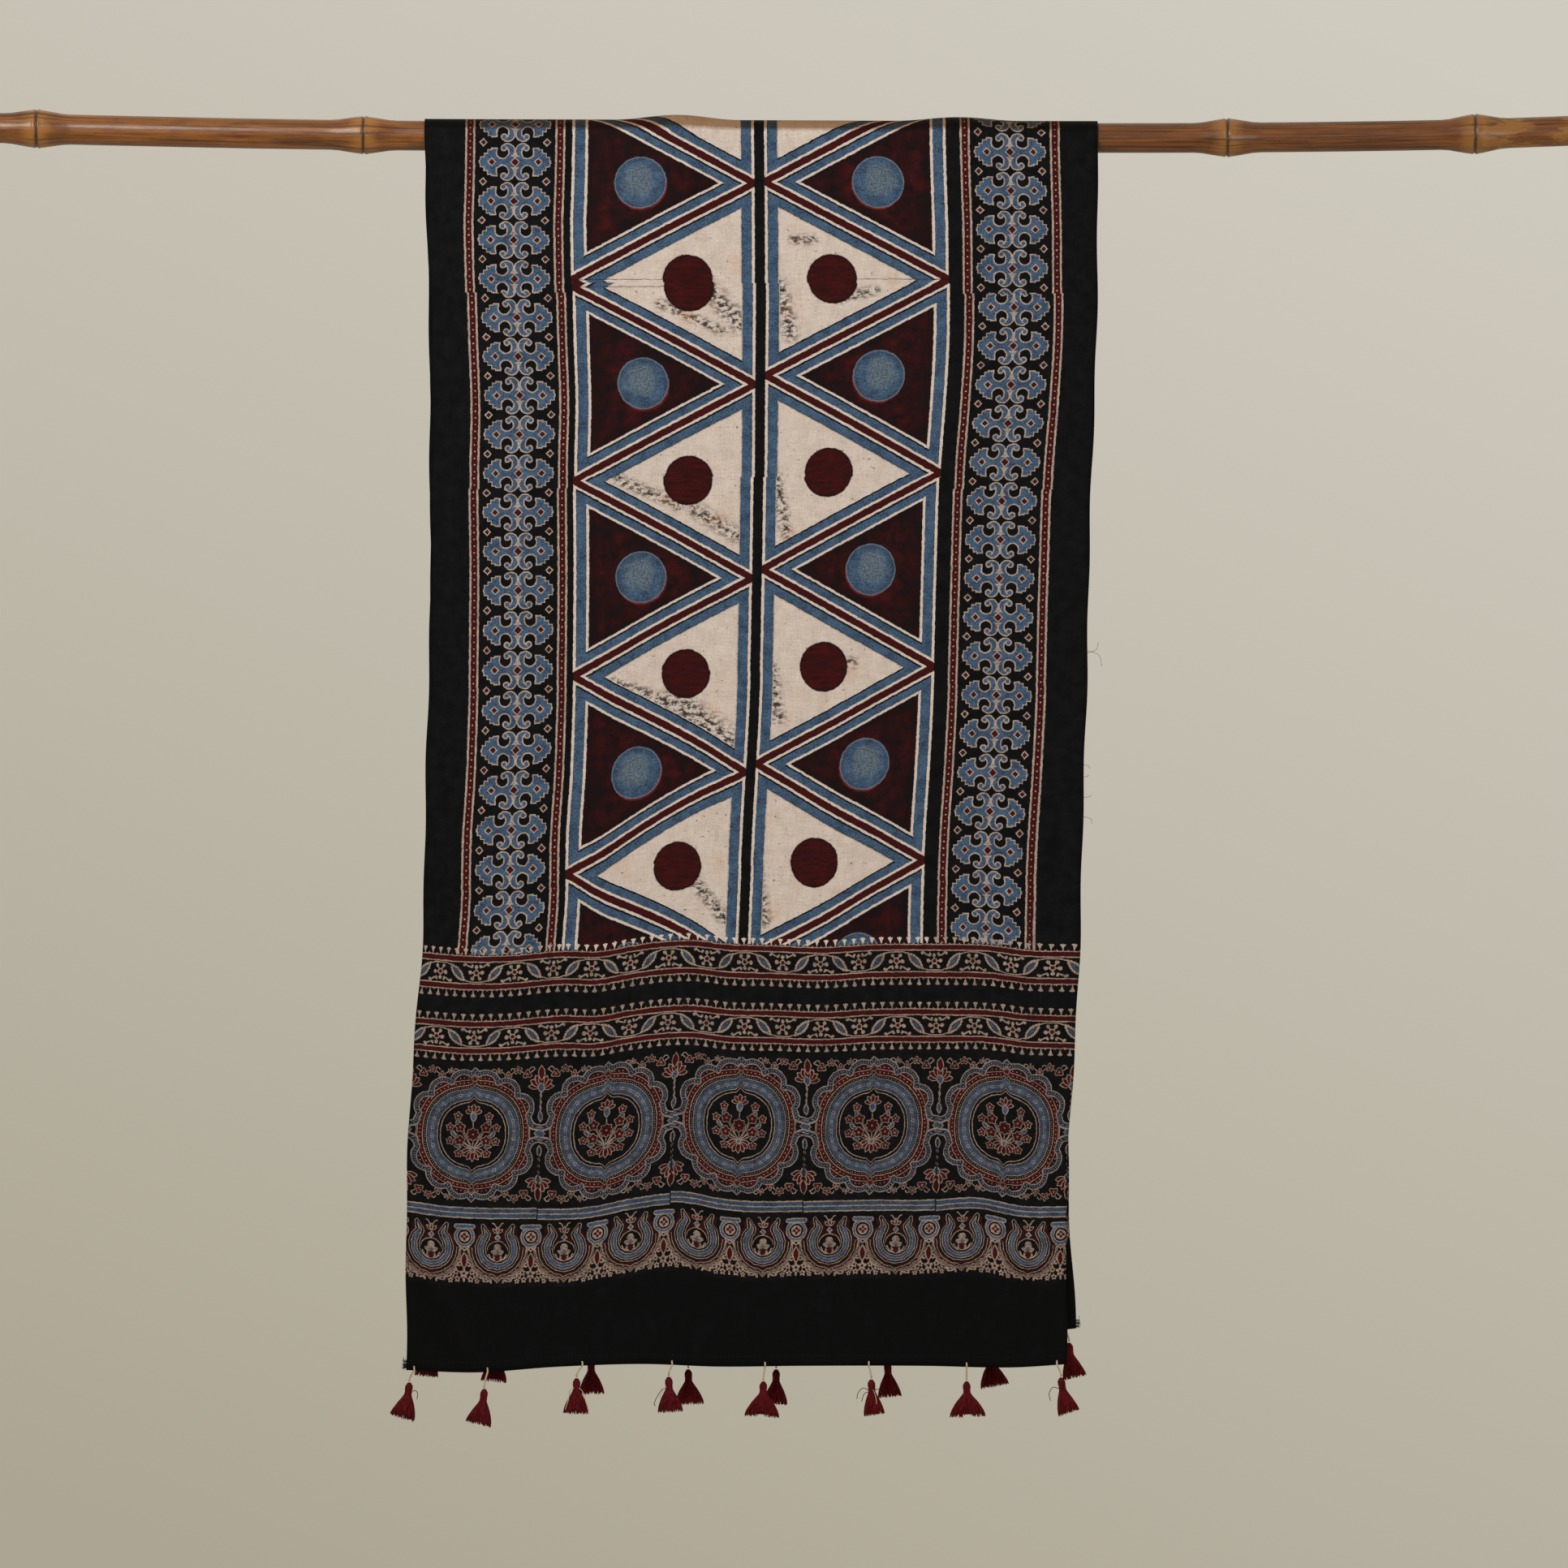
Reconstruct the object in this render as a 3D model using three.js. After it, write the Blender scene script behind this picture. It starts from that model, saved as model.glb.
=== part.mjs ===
// An ajrakh stole: a long block-printed cloth with tasselled ends, hung over a bamboo pole.
// Millimetres, +Z up. The pole runs along X, the front of the cloth faces -Y, and the origin is on
// the pole's axis at the middle of the cloth.
import * as THREE from 'three';
import { mergeVertices } from 'three/addons/utils/BufferGeometryUtils.js';

// Driving dimensions of the cloth
const CLOTH_WIDTH = 560;
const SHEET_THICKNESS = 1.2;
const HEM_DEPTH = 10;
const HEM_THICKNESS = 2.2;
const HEM_STEP = 2;
const POLE_CLEARANCE = 0.6;
const CLOTH_COLUMNS = 24;
const PANEL_ROWS = 14;
const WRAP_STEPS = 10;

// Driving dimensions of the pole
const INTERNODE_RADIUS = 12.4;
const KNUCKLE_REACH = 28;
const KNUCKLE_RINGS = 3;
const POLE_SIDES = 14;
const POLE_LEFT_END = -672;
const POLE_RIGHT_END = 708;

// How the cloth bridges a knuckle: a wider and slightly higher swell than the knuckle's own
const BRIDGE_REACH = 52;
const BRIDGE_RISE = 0.7;
const SWELL_FADE = 4;

// Driving dimensions of the tassels and their threads
const TASSEL_LENGTH = 30;
const TASSEL_HEAD_RADIUS = 4;
const TASSEL_DEPTH_SHARE = 0.8;
const LEAN_POWER = 1.5;
const TASSEL_SIDES = 10;
const THREAD_RADIUS = 0.8;
const THREAD_SIDES = 6;
const THREAD_STEPS = 10;
const THREAD_PIERCE = 4;
const THREAD_BEND = 1.3;
const THREAD_KNEE = { shift: 0.6, leg: 0.8 };
const PIECE_GAP = 0.35;

// The pole's slight bow: height of its axis at places along it
const POLE_BOW = [
  { along: POLE_LEFT_END, height: 8.0 },
  { along: -331, height: 1.3 },
  { along: -70, height: 0.0 },
  { along: 164, height: -0.9 },
  { along: 388, height: -0.7 },
  { along: 594, height: 2.2 },
  { along: POLE_RIGHT_END, height: 6.2 },
];

// The bamboo's knuckles: place along the pole, and how far the swelling stands out
const KNUCKLES = [
  { along: -603, swell: 3.2 },
  { along: -331, swell: 3.0 },
  { along: -70, swell: 3.4 },
  { along: 164, swell: 2.4 },
  { along: 388, swell: 3.3 },
  { along: 594, swell: 3.8 },
];

// Folds across the cloth: how far the panel stands out at its hem, and how far below the pole's
// axis the hem hangs, at places across from the left selvedge
const FRONT_FOLDS = [
  { across: 0, out: 4, hem: 1026 },
  { across: 62, out: 21, hem: 1027 },
  { across: 125, out: 13, hem: 1023 },
  { across: 200, out: 3, hem: 1021 },
  { across: 265, out: 6, hem: 1023 },
  { across: 335, out: 12, hem: 1022 },
  { across: 440, out: 4, hem: 1022.5 },
  { across: 515, out: 9, hem: 1023.5 },
  { across: CLOTH_WIDTH, out: 16, hem: 1020.5 },
];
const BACK_FOLDS = [
  { across: 0, out: 11, hem: 993 },
  { across: 75, out: 4, hem: 998 },
  { across: 165, out: 15, hem: 1010 },
  { across: 250, out: 6, hem: 1018 },
  { across: 345, out: 17, hem: 1014 },
  { across: 450, out: 5, hem: 1005 },
  { across: CLOTH_WIDTH, out: 13, hem: 993.5 },
];

// Sections down each panel: where its two selvedges are, and how much of each fold has opened
const FRONT_SECTIONS = [
  { down: 0, left: -280, right: 280, open: 0 },
  { down: 90, left: -276.5, right: 280, open: 0.1 },
  { down: 225, left: -275, right: 276.5, open: 0.36 },
  { down: 360, left: -274.5, right: 272.5, open: 0.6 },
  { down: 495, left: -278, right: 269, open: 0.78 },
  { down: 660, left: -281, right: 265, open: 0.9 },
  { down: 765, left: -289.5, right: 259.5, open: 0.95 },
  { down: 870, left: -294, right: 254.5, open: 0.98 },
  { down: 1025, left: -295.5, right: 253, open: 1 },
];
const BACK_SECTIONS = [
  { down: 0, left: -280, right: 280, open: 0 },
  { down: 300, left: -276, right: 274, open: 0.5 },
  { down: 620, left: -278, right: 264, open: 0.85 },
  { down: 880, left: -283, right: 257, open: 0.97 },
  { down: 1000, left: -285, right: 263, open: 1 },
];

// Tassels along each hem: thread's place across, sideways shift of the head below it, drop from the
// thread's hole to the head, sideways lean of the skirt, and width of the skirt at its foot
const FRONT_TASSELS = [
  { across: 7, shift: -4, drop: 13.5, lean: -6.4, skirt: 21 },
  { across: 70, shift: -2.7, drop: 17.5, lean: -5.4, skirt: 21.6 },
  { across: 150, shift: -4.7, drop: 14, lean: -0.7, skirt: 21.6 },
  { across: 226, shift: -2.7, drop: 13.5, lean: 1.4, skirt: 21.6 },
  { across: 305, shift: -1.4, drop: 16, lean: -1.4, skirt: 30 },
  { across: 393, shift: 2, drop: 15, lean: 2.7, skirt: 17.6 },
  { across: 476, shift: 0, drop: 15.5, lean: 1, skirt: 31 },
  { across: 552, shift: 3.4, drop: 14, lean: 6.8, skirt: 17.6 },
];
const BACK_TASSELS = [
  { across: 8, shift: -1, drop: 14, lean: -2, skirt: 20 },
  { across: 66, shift: -1, drop: 14.5, lean: -2, skirt: 22 },
  { across: 146, shift: 0, drop: 15, lean: 0.5, skirt: 22 },
  { across: 228, shift: 1, drop: 14, lean: 1, skirt: 25 },
  { across: 304, shift: 0, drop: 14.5, lean: -1, skirt: 21 },
  { across: 398, shift: 1, drop: 15, lean: 2, skirt: 20 },
  { across: 484, shift: 2.5, drop: 14, lean: 4, skirt: 24 },
  { across: 551, shift: 3, drop: 14.5, lean: 5, skirt: 20 },
];

// Outline of a tassel from its foot up: share of its length down, and its radius as a share of the
// head's radius plus a share of half the skirt's width
const TASSEL_OUTLINE = [
  { down: 1, head: 0, foot: 0 },
  { down: 1, head: 0, foot: 0.9 },
  { down: 0.96, head: 0, foot: 1 },
  { down: 0.64, head: 0.27, foot: 0.62 },
  { down: 0.3, head: 0.72, foot: 0 },
  { down: 0.19, head: 1, foot: 0 },
  { down: 0.08, head: 0.9, foot: 0 },
  { down: 0.01, head: 0.5, foot: 0 },
  { down: 0, head: 0, foot: 0 },
];

// A smooth curve through one column of a table
function smoothColumn(table, key, column) {
  const keys = table.map((row) => row[key]);
  const values = table.map((row) => row[column]);
  const curve = new THREE.CubicInterpolant(keys, values, 1);
  return (at) => curve.evaluate(at)[0];
}

const poleHeight = smoothColumn(POLE_BOW, 'along', 'height');

// A rounded swell, 1 at its middle and 0 past its reach
function swellShape(offset, reach) {
  if (Math.abs(offset) >= reach) {
    return 0;
  }
  return 0.5 + 0.5 * Math.cos((Math.PI * offset) / reach);
}

function poleRadius(along) {
  let radius = INTERNODE_RADIUS;
  for (const knuckle of KNUCKLES) {
    radius += knuckle.swell * swellShape(along - knuckle.along, KNUCKLE_REACH);
  }
  return radius;
}

// Inside radius of the cloth where it goes over the pole
function crestRadius(along) {
  let radius = INTERNODE_RADIUS + POLE_CLEARANCE;
  for (const knuckle of KNUCKLES) {
    radius += (knuckle.swell + BRIDGE_RISE) * swellShape(along - knuckle.along, BRIDGE_REACH);
  }
  return radius;
}

// One hanging panel: side is -1 for the front and +1 for the back
function makePanel(side, folds, sections) {
  return {
    side,
    fold: smoothColumn(folds, 'across', 'out'),
    hem: smoothColumn(folds, 'across', 'hem'),
    left: smoothColumn(sections, 'down', 'left'),
    right: smoothColumn(sections, 'down', 'right'),
    open: smoothColumn(sections, 'down', 'open'),
  };
}

const FRONT_PANEL = makePanel(-1, FRONT_FOLDS, FRONT_SECTIONS);
const BACK_PANEL = makePanel(1, BACK_FOLDS, BACK_SECTIONS);

// A point of a hanging panel, inset inwards from its outer face and rise up from its hem. The
// knuckles' swells die out down the panel, and its folds open.
function panelPoint(panel, across, rise, inset) {
  const down = panel.hem(across) - rise;
  const nearPole = rise / panel.hem(across);
  const x = THREE.MathUtils.lerp(panel.left(down), panel.right(down), across / CLOTH_WIDTH);
  const plainRadius = INTERNODE_RADIUS + POLE_CLEARANCE;
  const radius = THREE.MathUtils.lerp(plainRadius, crestRadius(x), nearPole ** SWELL_FADE);
  const out = radius + SHEET_THICKNESS + panel.fold(across) * panel.open(down);
  return new THREE.Vector3(x, panel.side * (out - inset), poleHeight(x) * nearPole - down);
}

// A point of the cloth over the pole, angle 0 at the front and PI at the back
function wrapPoint(across, angle, inset) {
  const x = across - CLOTH_WIDTH / 2;
  const radius = crestRadius(x) + SHEET_THICKNESS - inset;
  return new THREE.Vector3(x, -radius * Math.cos(angle), poleHeight(x) + radius * Math.sin(angle));
}

// Rows of one panel from its hem up to the pole, each with the sheet's thickness there
function panelRows(panel) {
  const hemRows = [
    { rise: () => 0, thickness: HEM_THICKNESS },
    { rise: () => HEM_DEPTH, thickness: HEM_THICKNESS },
    { rise: () => HEM_DEPTH + HEM_STEP, thickness: SHEET_THICKNESS },
  ];
  const bodyRows = [];
  const start = HEM_DEPTH + HEM_STEP;
  for (let step = 1; step <= PANEL_ROWS; step += 1) {
    const share = step / PANEL_ROWS;
    bodyRows.push({
      rise: (across) => THREE.MathUtils.lerp(start, panel.hem(across), share),
      thickness: SHEET_THICKNESS,
    });
  }
  return [...hemRows, ...bodyRows].map((row) => ({
    point: (across, onInside) => panelPoint(panel, across, row.rise(across), onInside ? row.thickness : 0),
  }));
}

function wrapRows() {
  const rows = [];
  for (let step = 1; step < WRAP_STEPS; step += 1) {
    const angle = (Math.PI * step) / WRAP_STEPS;
    rows.push({
      point: (across, onInside) => wrapPoint(across, angle, onInside ? SHEET_THICKNESS : 0),
    });
  }
  return rows;
}

// The cloth is one sheet from the front hem, up over the pole and down to the back hem
function clothGeometry() {
  const rows = [...panelRows(FRONT_PANEL), ...wrapRows(), ...panelRows(BACK_PANEL).reverse()];
  const columns = CLOTH_COLUMNS + 1;
  const positions = [];
  for (const onInside of [false, true]) {
    for (const row of rows) {
      for (let column = 0; column < columns; column += 1) {
        const across = (CLOTH_WIDTH * column) / CLOTH_COLUMNS;
        positions.push(...row.point(across, onInside).toArray());
      }
    }
  }
  const outer = (column, row) => row * columns + column;
  const inner = (column, row) => outer(column, row) + columns * rows.length;
  const triangles = [];
  const addQuad = (a, b, c, d) => triangles.push(a, b, c, a, c, d);
  const lastRow = rows.length - 1;
  const lastColumn = columns - 1;
  for (let row = 0; row < lastRow; row += 1) {
    for (let column = 0; column < lastColumn; column += 1) {
      const corners = [[column, row], [column + 1, row], [column + 1, row + 1], [column, row + 1]];
      addQuad(...corners.map((corner) => outer(...corner)));
      addQuad(...corners.reverse().map((corner) => inner(...corner)));
    }
    addQuad(outer(0, row), outer(0, row + 1), inner(0, row + 1), inner(0, row));
    addQuad(
      outer(lastColumn, row),
      inner(lastColumn, row),
      inner(lastColumn, row + 1),
      outer(lastColumn, row + 1),
    );
  }
  for (let column = 0; column < lastColumn; column += 1) {
    addQuad(outer(column, 0), inner(column, 0), inner(column + 1, 0), outer(column + 1, 0));
    addQuad(
      outer(column, lastRow),
      outer(column + 1, lastRow),
      inner(column + 1, lastRow),
      inner(column, lastRow),
    );
  }
  const geometry = new THREE.BufferGeometry();
  geometry.setAttribute('position', new THREE.Float32BufferAttribute(positions, 3));
  geometry.setIndex(triangles);
  return geometry;
}

// Only positions matter in a solid, so its seam is closed by dropping the rest
function closed(geometry) {
  geometry.deleteAttribute('normal');
  geometry.deleteAttribute('uv');
  return mergeVertices(geometry);
}

// Places along the pole where its outline turns: its ends and the rings of each knuckle
function poleStations() {
  const stations = [POLE_LEFT_END, POLE_RIGHT_END];
  for (const knuckle of KNUCKLES) {
    for (let ring = -KNUCKLE_RINGS; ring <= KNUCKLE_RINGS; ring += 1) {
      stations.push(knuckle.along + (KNUCKLE_REACH * ring) / KNUCKLE_RINGS);
    }
  }
  for (let index = 1; index < KNUCKLES.length; index += 1) {
    stations.push((KNUCKLES[index - 1].along + KNUCKLES[index].along) / 2);
  }
  return stations.sort((one, other) => one - other);
}

// The pole is turned from its outline, laid along X and then bowed
function poleGeometry() {
  const outline = poleStations().map((along) => new THREE.Vector2(poleRadius(along), along));
  outline.unshift(new THREE.Vector2(0, POLE_LEFT_END));
  outline.push(new THREE.Vector2(0, POLE_RIGHT_END));
  const geometry = closed(new THREE.LatheGeometry(outline, POLE_SIDES)).rotateZ(-Math.PI / 2);
  const position = geometry.getAttribute('position');
  for (let index = 0; index < position.count; index += 1) {
    position.setZ(index, position.getZ(index) + poleHeight(position.getX(index)));
  }
  return geometry;
}

// A tassel hangs from the top of its head: head, bound neck and a skirt that leans to one side
function tasselGeometry({ lean, skirt }) {
  const outline = TASSEL_OUTLINE.map(({ down, head, foot }) => {
    const radius = head * TASSEL_HEAD_RADIUS + (foot * skirt) / 2;
    return new THREE.Vector2(radius, -down * TASSEL_LENGTH);
  });
  const geometry = closed(new THREE.LatheGeometry(outline, TASSEL_SIDES)).rotateX(Math.PI / 2);
  const position = geometry.getAttribute('position');
  for (let index = 0; index < position.count; index += 1) {
    const share = -position.getZ(index) / TASSEL_LENGTH;
    position.setX(index, position.getX(index) + lean * share ** LEAN_POWER);
    position.setY(index, position.getY(index) * TASSEL_DEPTH_SHARE);
  }
  return geometry;
}

// A thread loop: down one face of the hem, round under it at the tassel's head, and up the other
// face. Its origin is the middle of the hem's thickness at the thread's hole.
function threadGeometry({ shift, drop }) {
  const leg = HEM_THICKNESS / 2 + PIECE_GAP + THREAD_RADIUS;
  const foot = THREAD_RADIUS - drop;
  const bendTop = foot + THREAD_BEND;
  const kneeX = shift * THREAD_KNEE.shift;
  const kneeY = leg * THREAD_KNEE.leg;
  const kneeZ = (bendTop - THREAD_PIERCE) / 2;
  const route = [
    new THREE.Vector3(0, -leg, 0),
    new THREE.Vector3(0, -leg, -THREAD_PIERCE),
    new THREE.Vector3(kneeX, -kneeY, kneeZ),
    new THREE.Vector3(shift, -THREAD_BEND, bendTop),
    new THREE.Vector3(shift, 0, foot),
    new THREE.Vector3(shift, THREAD_BEND, bendTop),
    new THREE.Vector3(kneeX, kneeY, kneeZ),
    new THREE.Vector3(0, leg, -THREAD_PIERCE),
    new THREE.Vector3(0, leg, 0),
  ];
  const section = new THREE.Shape();
  for (let side = 0; side < THREAD_SIDES; side += 1) {
    const angle = (2 * Math.PI * side) / THREAD_SIDES;
    const place = [THREAD_RADIUS * Math.cos(angle), THREAD_RADIUS * Math.sin(angle)];
    if (side === 0) {
      section.moveTo(...place);
    } else {
      section.lineTo(...place);
    }
  }
  const extrudePath = new THREE.CatmullRomCurve3(route);
  return closed(new THREE.ExtrudeGeometry(section, { extrudePath, steps: THREAD_STEPS }));
}

// Middle of the hem's thickness at a thread's hole, on the flat facet between two columns
function hemHole(panel, across) {
  const pitch = CLOTH_WIDTH / CLOTH_COLUMNS;
  const before = Math.floor(across / pitch) * pitch;
  const ends = [before, before + pitch].map((at) => panelPoint(panel, at, THREAD_PIERCE, HEM_THICKNESS / 2));
  return ends[0].lerp(ends[1], (across - before) / pitch);
}

function addMesh(parent, name, geometry, look) {
  const mesh = new THREE.Mesh(geometry, new THREE.MeshStandardMaterial(look));
  mesh.name = name;
  parent.add(mesh);
  return mesh;
}

const CLOTH_LOOK = { color: 0x17161a, roughness: 0.7, metalness: 0 };
const POLE_LOOK = { color: 0x9a6236, roughness: 0.4, metalness: 0 };
const TASSEL_LOOK = { color: 0x4a0d10, roughness: 0.75, metalness: 0 };
const THREAD_LOOK = { color: 0xcdbca4, roughness: 0.8, metalness: 0 };

// Each tassel and its thread share a group at the thread's hole
function addTassels(parent, panel, hemName, tassels) {
  tassels.forEach((tassel, index) => {
    const group = new THREE.Group();
    group.position.copy(hemHole(panel, tassel.across));
    const number = index + 1;
    addMesh(group, `thread_${hemName}_${number}`, threadGeometry(tassel), THREAD_LOOK);
    const body = addMesh(group, `tassel_${hemName}_${number}`, tasselGeometry(tassel), TASSEL_LOOK);
    body.position.set(tassel.shift, 0, -tassel.drop - PIECE_GAP);
    parent.add(group);
  });
}

const stole = new THREE.Group();
addMesh(stole, 'pole', poleGeometry(), POLE_LOOK);
addMesh(stole, 'cloth', clothGeometry(), CLOTH_LOOK);
addTassels(stole, FRONT_PANEL, 'front', FRONT_TASSELS);
addTassels(stole, BACK_PANEL, 'back', BACK_TASSELS);

export default stole;
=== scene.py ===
"""Looks of an ajrakh cloth hung over a bamboo pole: the thin printed sheet on its solid's folds, the
yarn tassels on their threads, and the plain pole. Sizes are in millimetres until a mesh is made,
and the frame is in metres."""

import math
import random
from collections import namedtuple
from functools import reduce

import bpy
import numpy as np
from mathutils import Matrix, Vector


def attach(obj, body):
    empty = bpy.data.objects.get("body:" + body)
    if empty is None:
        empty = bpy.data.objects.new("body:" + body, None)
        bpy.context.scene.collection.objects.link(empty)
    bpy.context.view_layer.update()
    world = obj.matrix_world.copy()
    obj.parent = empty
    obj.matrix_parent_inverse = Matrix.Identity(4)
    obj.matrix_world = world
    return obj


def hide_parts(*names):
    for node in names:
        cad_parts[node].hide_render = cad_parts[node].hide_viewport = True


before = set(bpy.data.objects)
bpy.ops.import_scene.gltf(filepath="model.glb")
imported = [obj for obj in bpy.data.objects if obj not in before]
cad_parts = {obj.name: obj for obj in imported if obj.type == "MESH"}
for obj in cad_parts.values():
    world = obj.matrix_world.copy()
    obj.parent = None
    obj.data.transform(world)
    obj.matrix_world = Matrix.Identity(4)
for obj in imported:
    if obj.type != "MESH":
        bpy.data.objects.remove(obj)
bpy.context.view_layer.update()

MM = 0.001
BODY = "root"

# Driving dimensions of the cloth. The visual sheet lies in the outer part of its solid's thickness
CLOTH_WIDTH = 560
SOLID_THICKNESS = 1.2
SHEET_THICKNESS = 0.5
HEM_THICKNESS = 2.0
HEM_DEPTH = 10
HEM_STEP = 1.5
POLE_CLEARANCE = 0.6
FRONT_LENGTH = 1024
BACK_LENGTH = 1004
WRAP_LENGTH = 44
CLOTH_LENGTH = FRONT_LENGTH + WRAP_LENGTH + BACK_LENGTH

# Driving dimensions of the pole
INTERNODE_RADIUS = 12.4
KNUCKLE_REACH = 28
BRIDGE_REACH = 52
BRIDGE_RISE = 0.7
SWELL_FADE = 4
POLE_LEFT_END = -672
POLE_RIGHT_END = 708

# Driving dimensions of the tassels and their threads
TASSEL_LENGTH = 30
TASSEL_HEAD_RADIUS = 4
TASSEL_DEPTH_SHARE = 0.8
LEAN_POWER = 1.5
THREAD_RADIUS = 0.8
THREAD_PIERCE = 4
THREAD_BEND = 1.3
THREAD_KNEE_SHIFT = 0.6
THREAD_KNEE_LEG = 0.8
SOLID_HEM_THICKNESS = 2.2
PIECE_GAP = 0.35

Bow = namedtuple("Bow", "along height")
Knuckle = namedtuple("Knuckle", "along swell")
Fold = namedtuple("Fold", "across out hem")
Section = namedtuple("Section", "down left right open")
Lift = namedtuple("Lift", "across rise")
Tassel = namedtuple("Tassel", "across shift drop lean skirt")
Outline = namedtuple("Outline", "down head foot")
Panel = namedtuple("Panel", "side length fold hem left right open stripe_lift band_lift creases")

POLE_BOW = [
    Bow(POLE_LEFT_END, 8.0),
    Bow(-331, 1.3),
    Bow(-70, 0.0),
    Bow(164, -0.9),
    Bow(388, -0.7),
    Bow(594, 2.2),
    Bow(POLE_RIGHT_END, 6.2),
]
KNUCKLES = [
    Knuckle(-603, 3.2),
    Knuckle(-331, 3.0),
    Knuckle(-70, 3.4),
    Knuckle(164, 2.4),
    Knuckle(388, 3.3),
    Knuckle(594, 3.8),
]

# How far each fold stands out at the hem, and how far the hem hangs below the pole's axis
FRONT_FOLDS = [
    Fold(0, 4, 1026),
    Fold(62, 21, 1027),
    Fold(125, 13, 1023),
    Fold(200, 3, 1021),
    Fold(265, 6, 1023),
    Fold(335, 12, 1022),
    Fold(440, 4, 1022.5),
    Fold(515, 9, 1023.5),
    Fold(560, 16, 1020.5),
]
BACK_FOLDS = [
    Fold(0, 11, 993),
    Fold(75, 4, 998),
    Fold(165, 15, 1010),
    Fold(250, 6, 1018),
    Fold(345, 17, 1014),
    Fold(450, 5, 1005),
    Fold(560, 13, 993.5),
]

# The panels' side edges and how far their folds have opened, at heights below the pole's axis
FRONT_SECTIONS = [
    Section(0, -280, 280, 0),
    Section(90, -276.5, 280, 0.1),
    Section(225, -275, 276.5, 0.36),
    Section(360, -274.5, 272.5, 0.6),
    Section(495, -278, 269, 0.78),
    Section(660, -281, 265, 0.9),
    Section(765, -289.5, 259.5, 0.95),
    Section(870, -294, 254.5, 0.98),
    Section(1025, -295.5, 253, 1),
]
BACK_SECTIONS = [
    Section(0, -280, 280, 0),
    Section(300, -276, 274, 0.5),
    Section(620, -278, 264, 0.85),
    Section(880, -283, 257, 0.97),
    Section(1000, -285, 263, 1),
]

# How far the printed lines rise above their mean height across the front, where the weave is drawn up:
# at the stripes below the medallions, and at the two narrow bands above them
STRIPE_LIFTS = [
    Lift(0, 3.0),
    Lift(26, 0.2),
    Lift(68, -1.7),
    Lift(109, -4.4),
    Lift(150, -5.3),
    Lift(192, 1.6),
    Lift(232, 6.5),
    Lift(270, 1.0),
    Lift(300, -1.0),
    Lift(358, 0.0),
    Lift(399, 0.7),
    Lift(440, 1.0),
    Lift(482, 4.5),
    Lift(523, -2.8),
    Lift(560, -5.0),
]
BAND_LIFTS = [
    Lift(0, -5.0),
    Lift(40, -7.0),
    Lift(80, -7.0),
    Lift(127, -5.5),
    Lift(155, -6.8),
    Lift(183, -2.6),
    Lift(210, 0.9),
    Lift(238, 2.4),
    Lift(266, 0.0),
    Lift(300, -1.0),
    Lift(348, -3.0),
    Lift(390, -0.6),
    Lift(450, 0.0),
    Lift(490, -0.2),
    Lift(520, -3.8),
    Lift(560, -7.0),
]
BACK_LIFTS = [
    Lift(0, -2),
    Lift(140, 3),
    Lift(300, -3),
    Lift(430, 2),
    Lift(560, -1),
]
LIFT_FULL_AT = 70
BAND_LIFT_FROM = 150
BAND_LIFT_FULL_AT = 290
LIFT_FADE_FROM = 352
LIFT_FADE = 300

# How far the weave is dragged sideways along the front: at the left border, the middle and the right border
Slide = namedtuple("Slide", "along left middle right")
SLIDES = [
    Slide(0, 0.0, 0.0, 0.0),
    Slide(258, 0.0, 0.0, 0.0),
    Slide(310, -2.5, -2.5, -3.5),
    Slide(352, -4.5, -5.5, -7.5),
    Slide(396, -3.4, -5.5, -8.5),
    Slide(446, -3.3, -4.2, -7.6),
    Slide(497, -0.4, -2.0, -5.0),
    Slide(548, 0.4, -0.2, -3.4),
    Slide(650, -1.2, -0.4, -3.2),
    Slide(751, -2.4, -0.5, -2.1),
    Slide(801, -1.3, -0.8, 0.8),
    Slide(852, -3.0, -1.0, 2.8),
    Slide(920, -4.4, -1.0, 1.9),
    Slide(1024, -3.0, -0.5, 0.6),
]
SLIDE_STOPS = [0, 34, 118, 278, 440, 526, CLOTH_WIDTH]

FRONT_TASSELS = [
    Tassel(7, -4, 13.5, -6.4, 21),
    Tassel(70, -2.7, 17.5, -5.4, 21.6),
    Tassel(150, -4.7, 14, -0.7, 21.6),
    Tassel(226, -2.7, 13.5, 1.4, 21.6),
    Tassel(305, -1.4, 16, -1.4, 30),
    Tassel(393, 2, 15, 2.7, 17.6),
    Tassel(476, 0, 15.5, 1, 31),
    Tassel(552, 3.4, 14, 6.8, 17.6),
]
BACK_TASSELS = [
    Tassel(8, -1, 14, -2, 20),
    Tassel(66, -1, 14.5, -2, 22),
    Tassel(146, 0, 15, 0.5, 22),
    Tassel(228, 1, 14, 1, 25),
    Tassel(304, 0, 14.5, -1, 21),
    Tassel(398, 1, 15, 2, 20),
    Tassel(484, 2.5, 14, 4, 24),
    Tassel(551, 3, 14.5, 5, 20),
]

# A tassel's outline: share of its length, of its head's radius and of its skirt's half width
TASSEL_OUTLINE = [
    Outline(0, 0.0, 0.0),
    Outline(0.01, 0.3, 0.0),
    Outline(0.03, 0.5, 0.0),
    Outline(0.07, 0.7, 0.0),
    Outline(0.12, 0.8, 0.0),
    Outline(0.18, 0.82, 0.0),
    Outline(0.25, 0.68, 0.0),
    Outline(0.31, 0.6, 0.0),
    Outline(0.42, 0.5, 0.2),
    Outline(0.6, 0.28, 0.56),
    Outline(0.8, 0.08, 0.86),
    Outline(0.93, 0.0, 0.98),
    Outline(1, 0.0, 1.0),
]

# Places of the print along the cloth, in millimetres from a hem
PLAIN_END = 72
PAISLEY_END = 127
MEDALLION_END = 258
BANDS_END = 352.2


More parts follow.
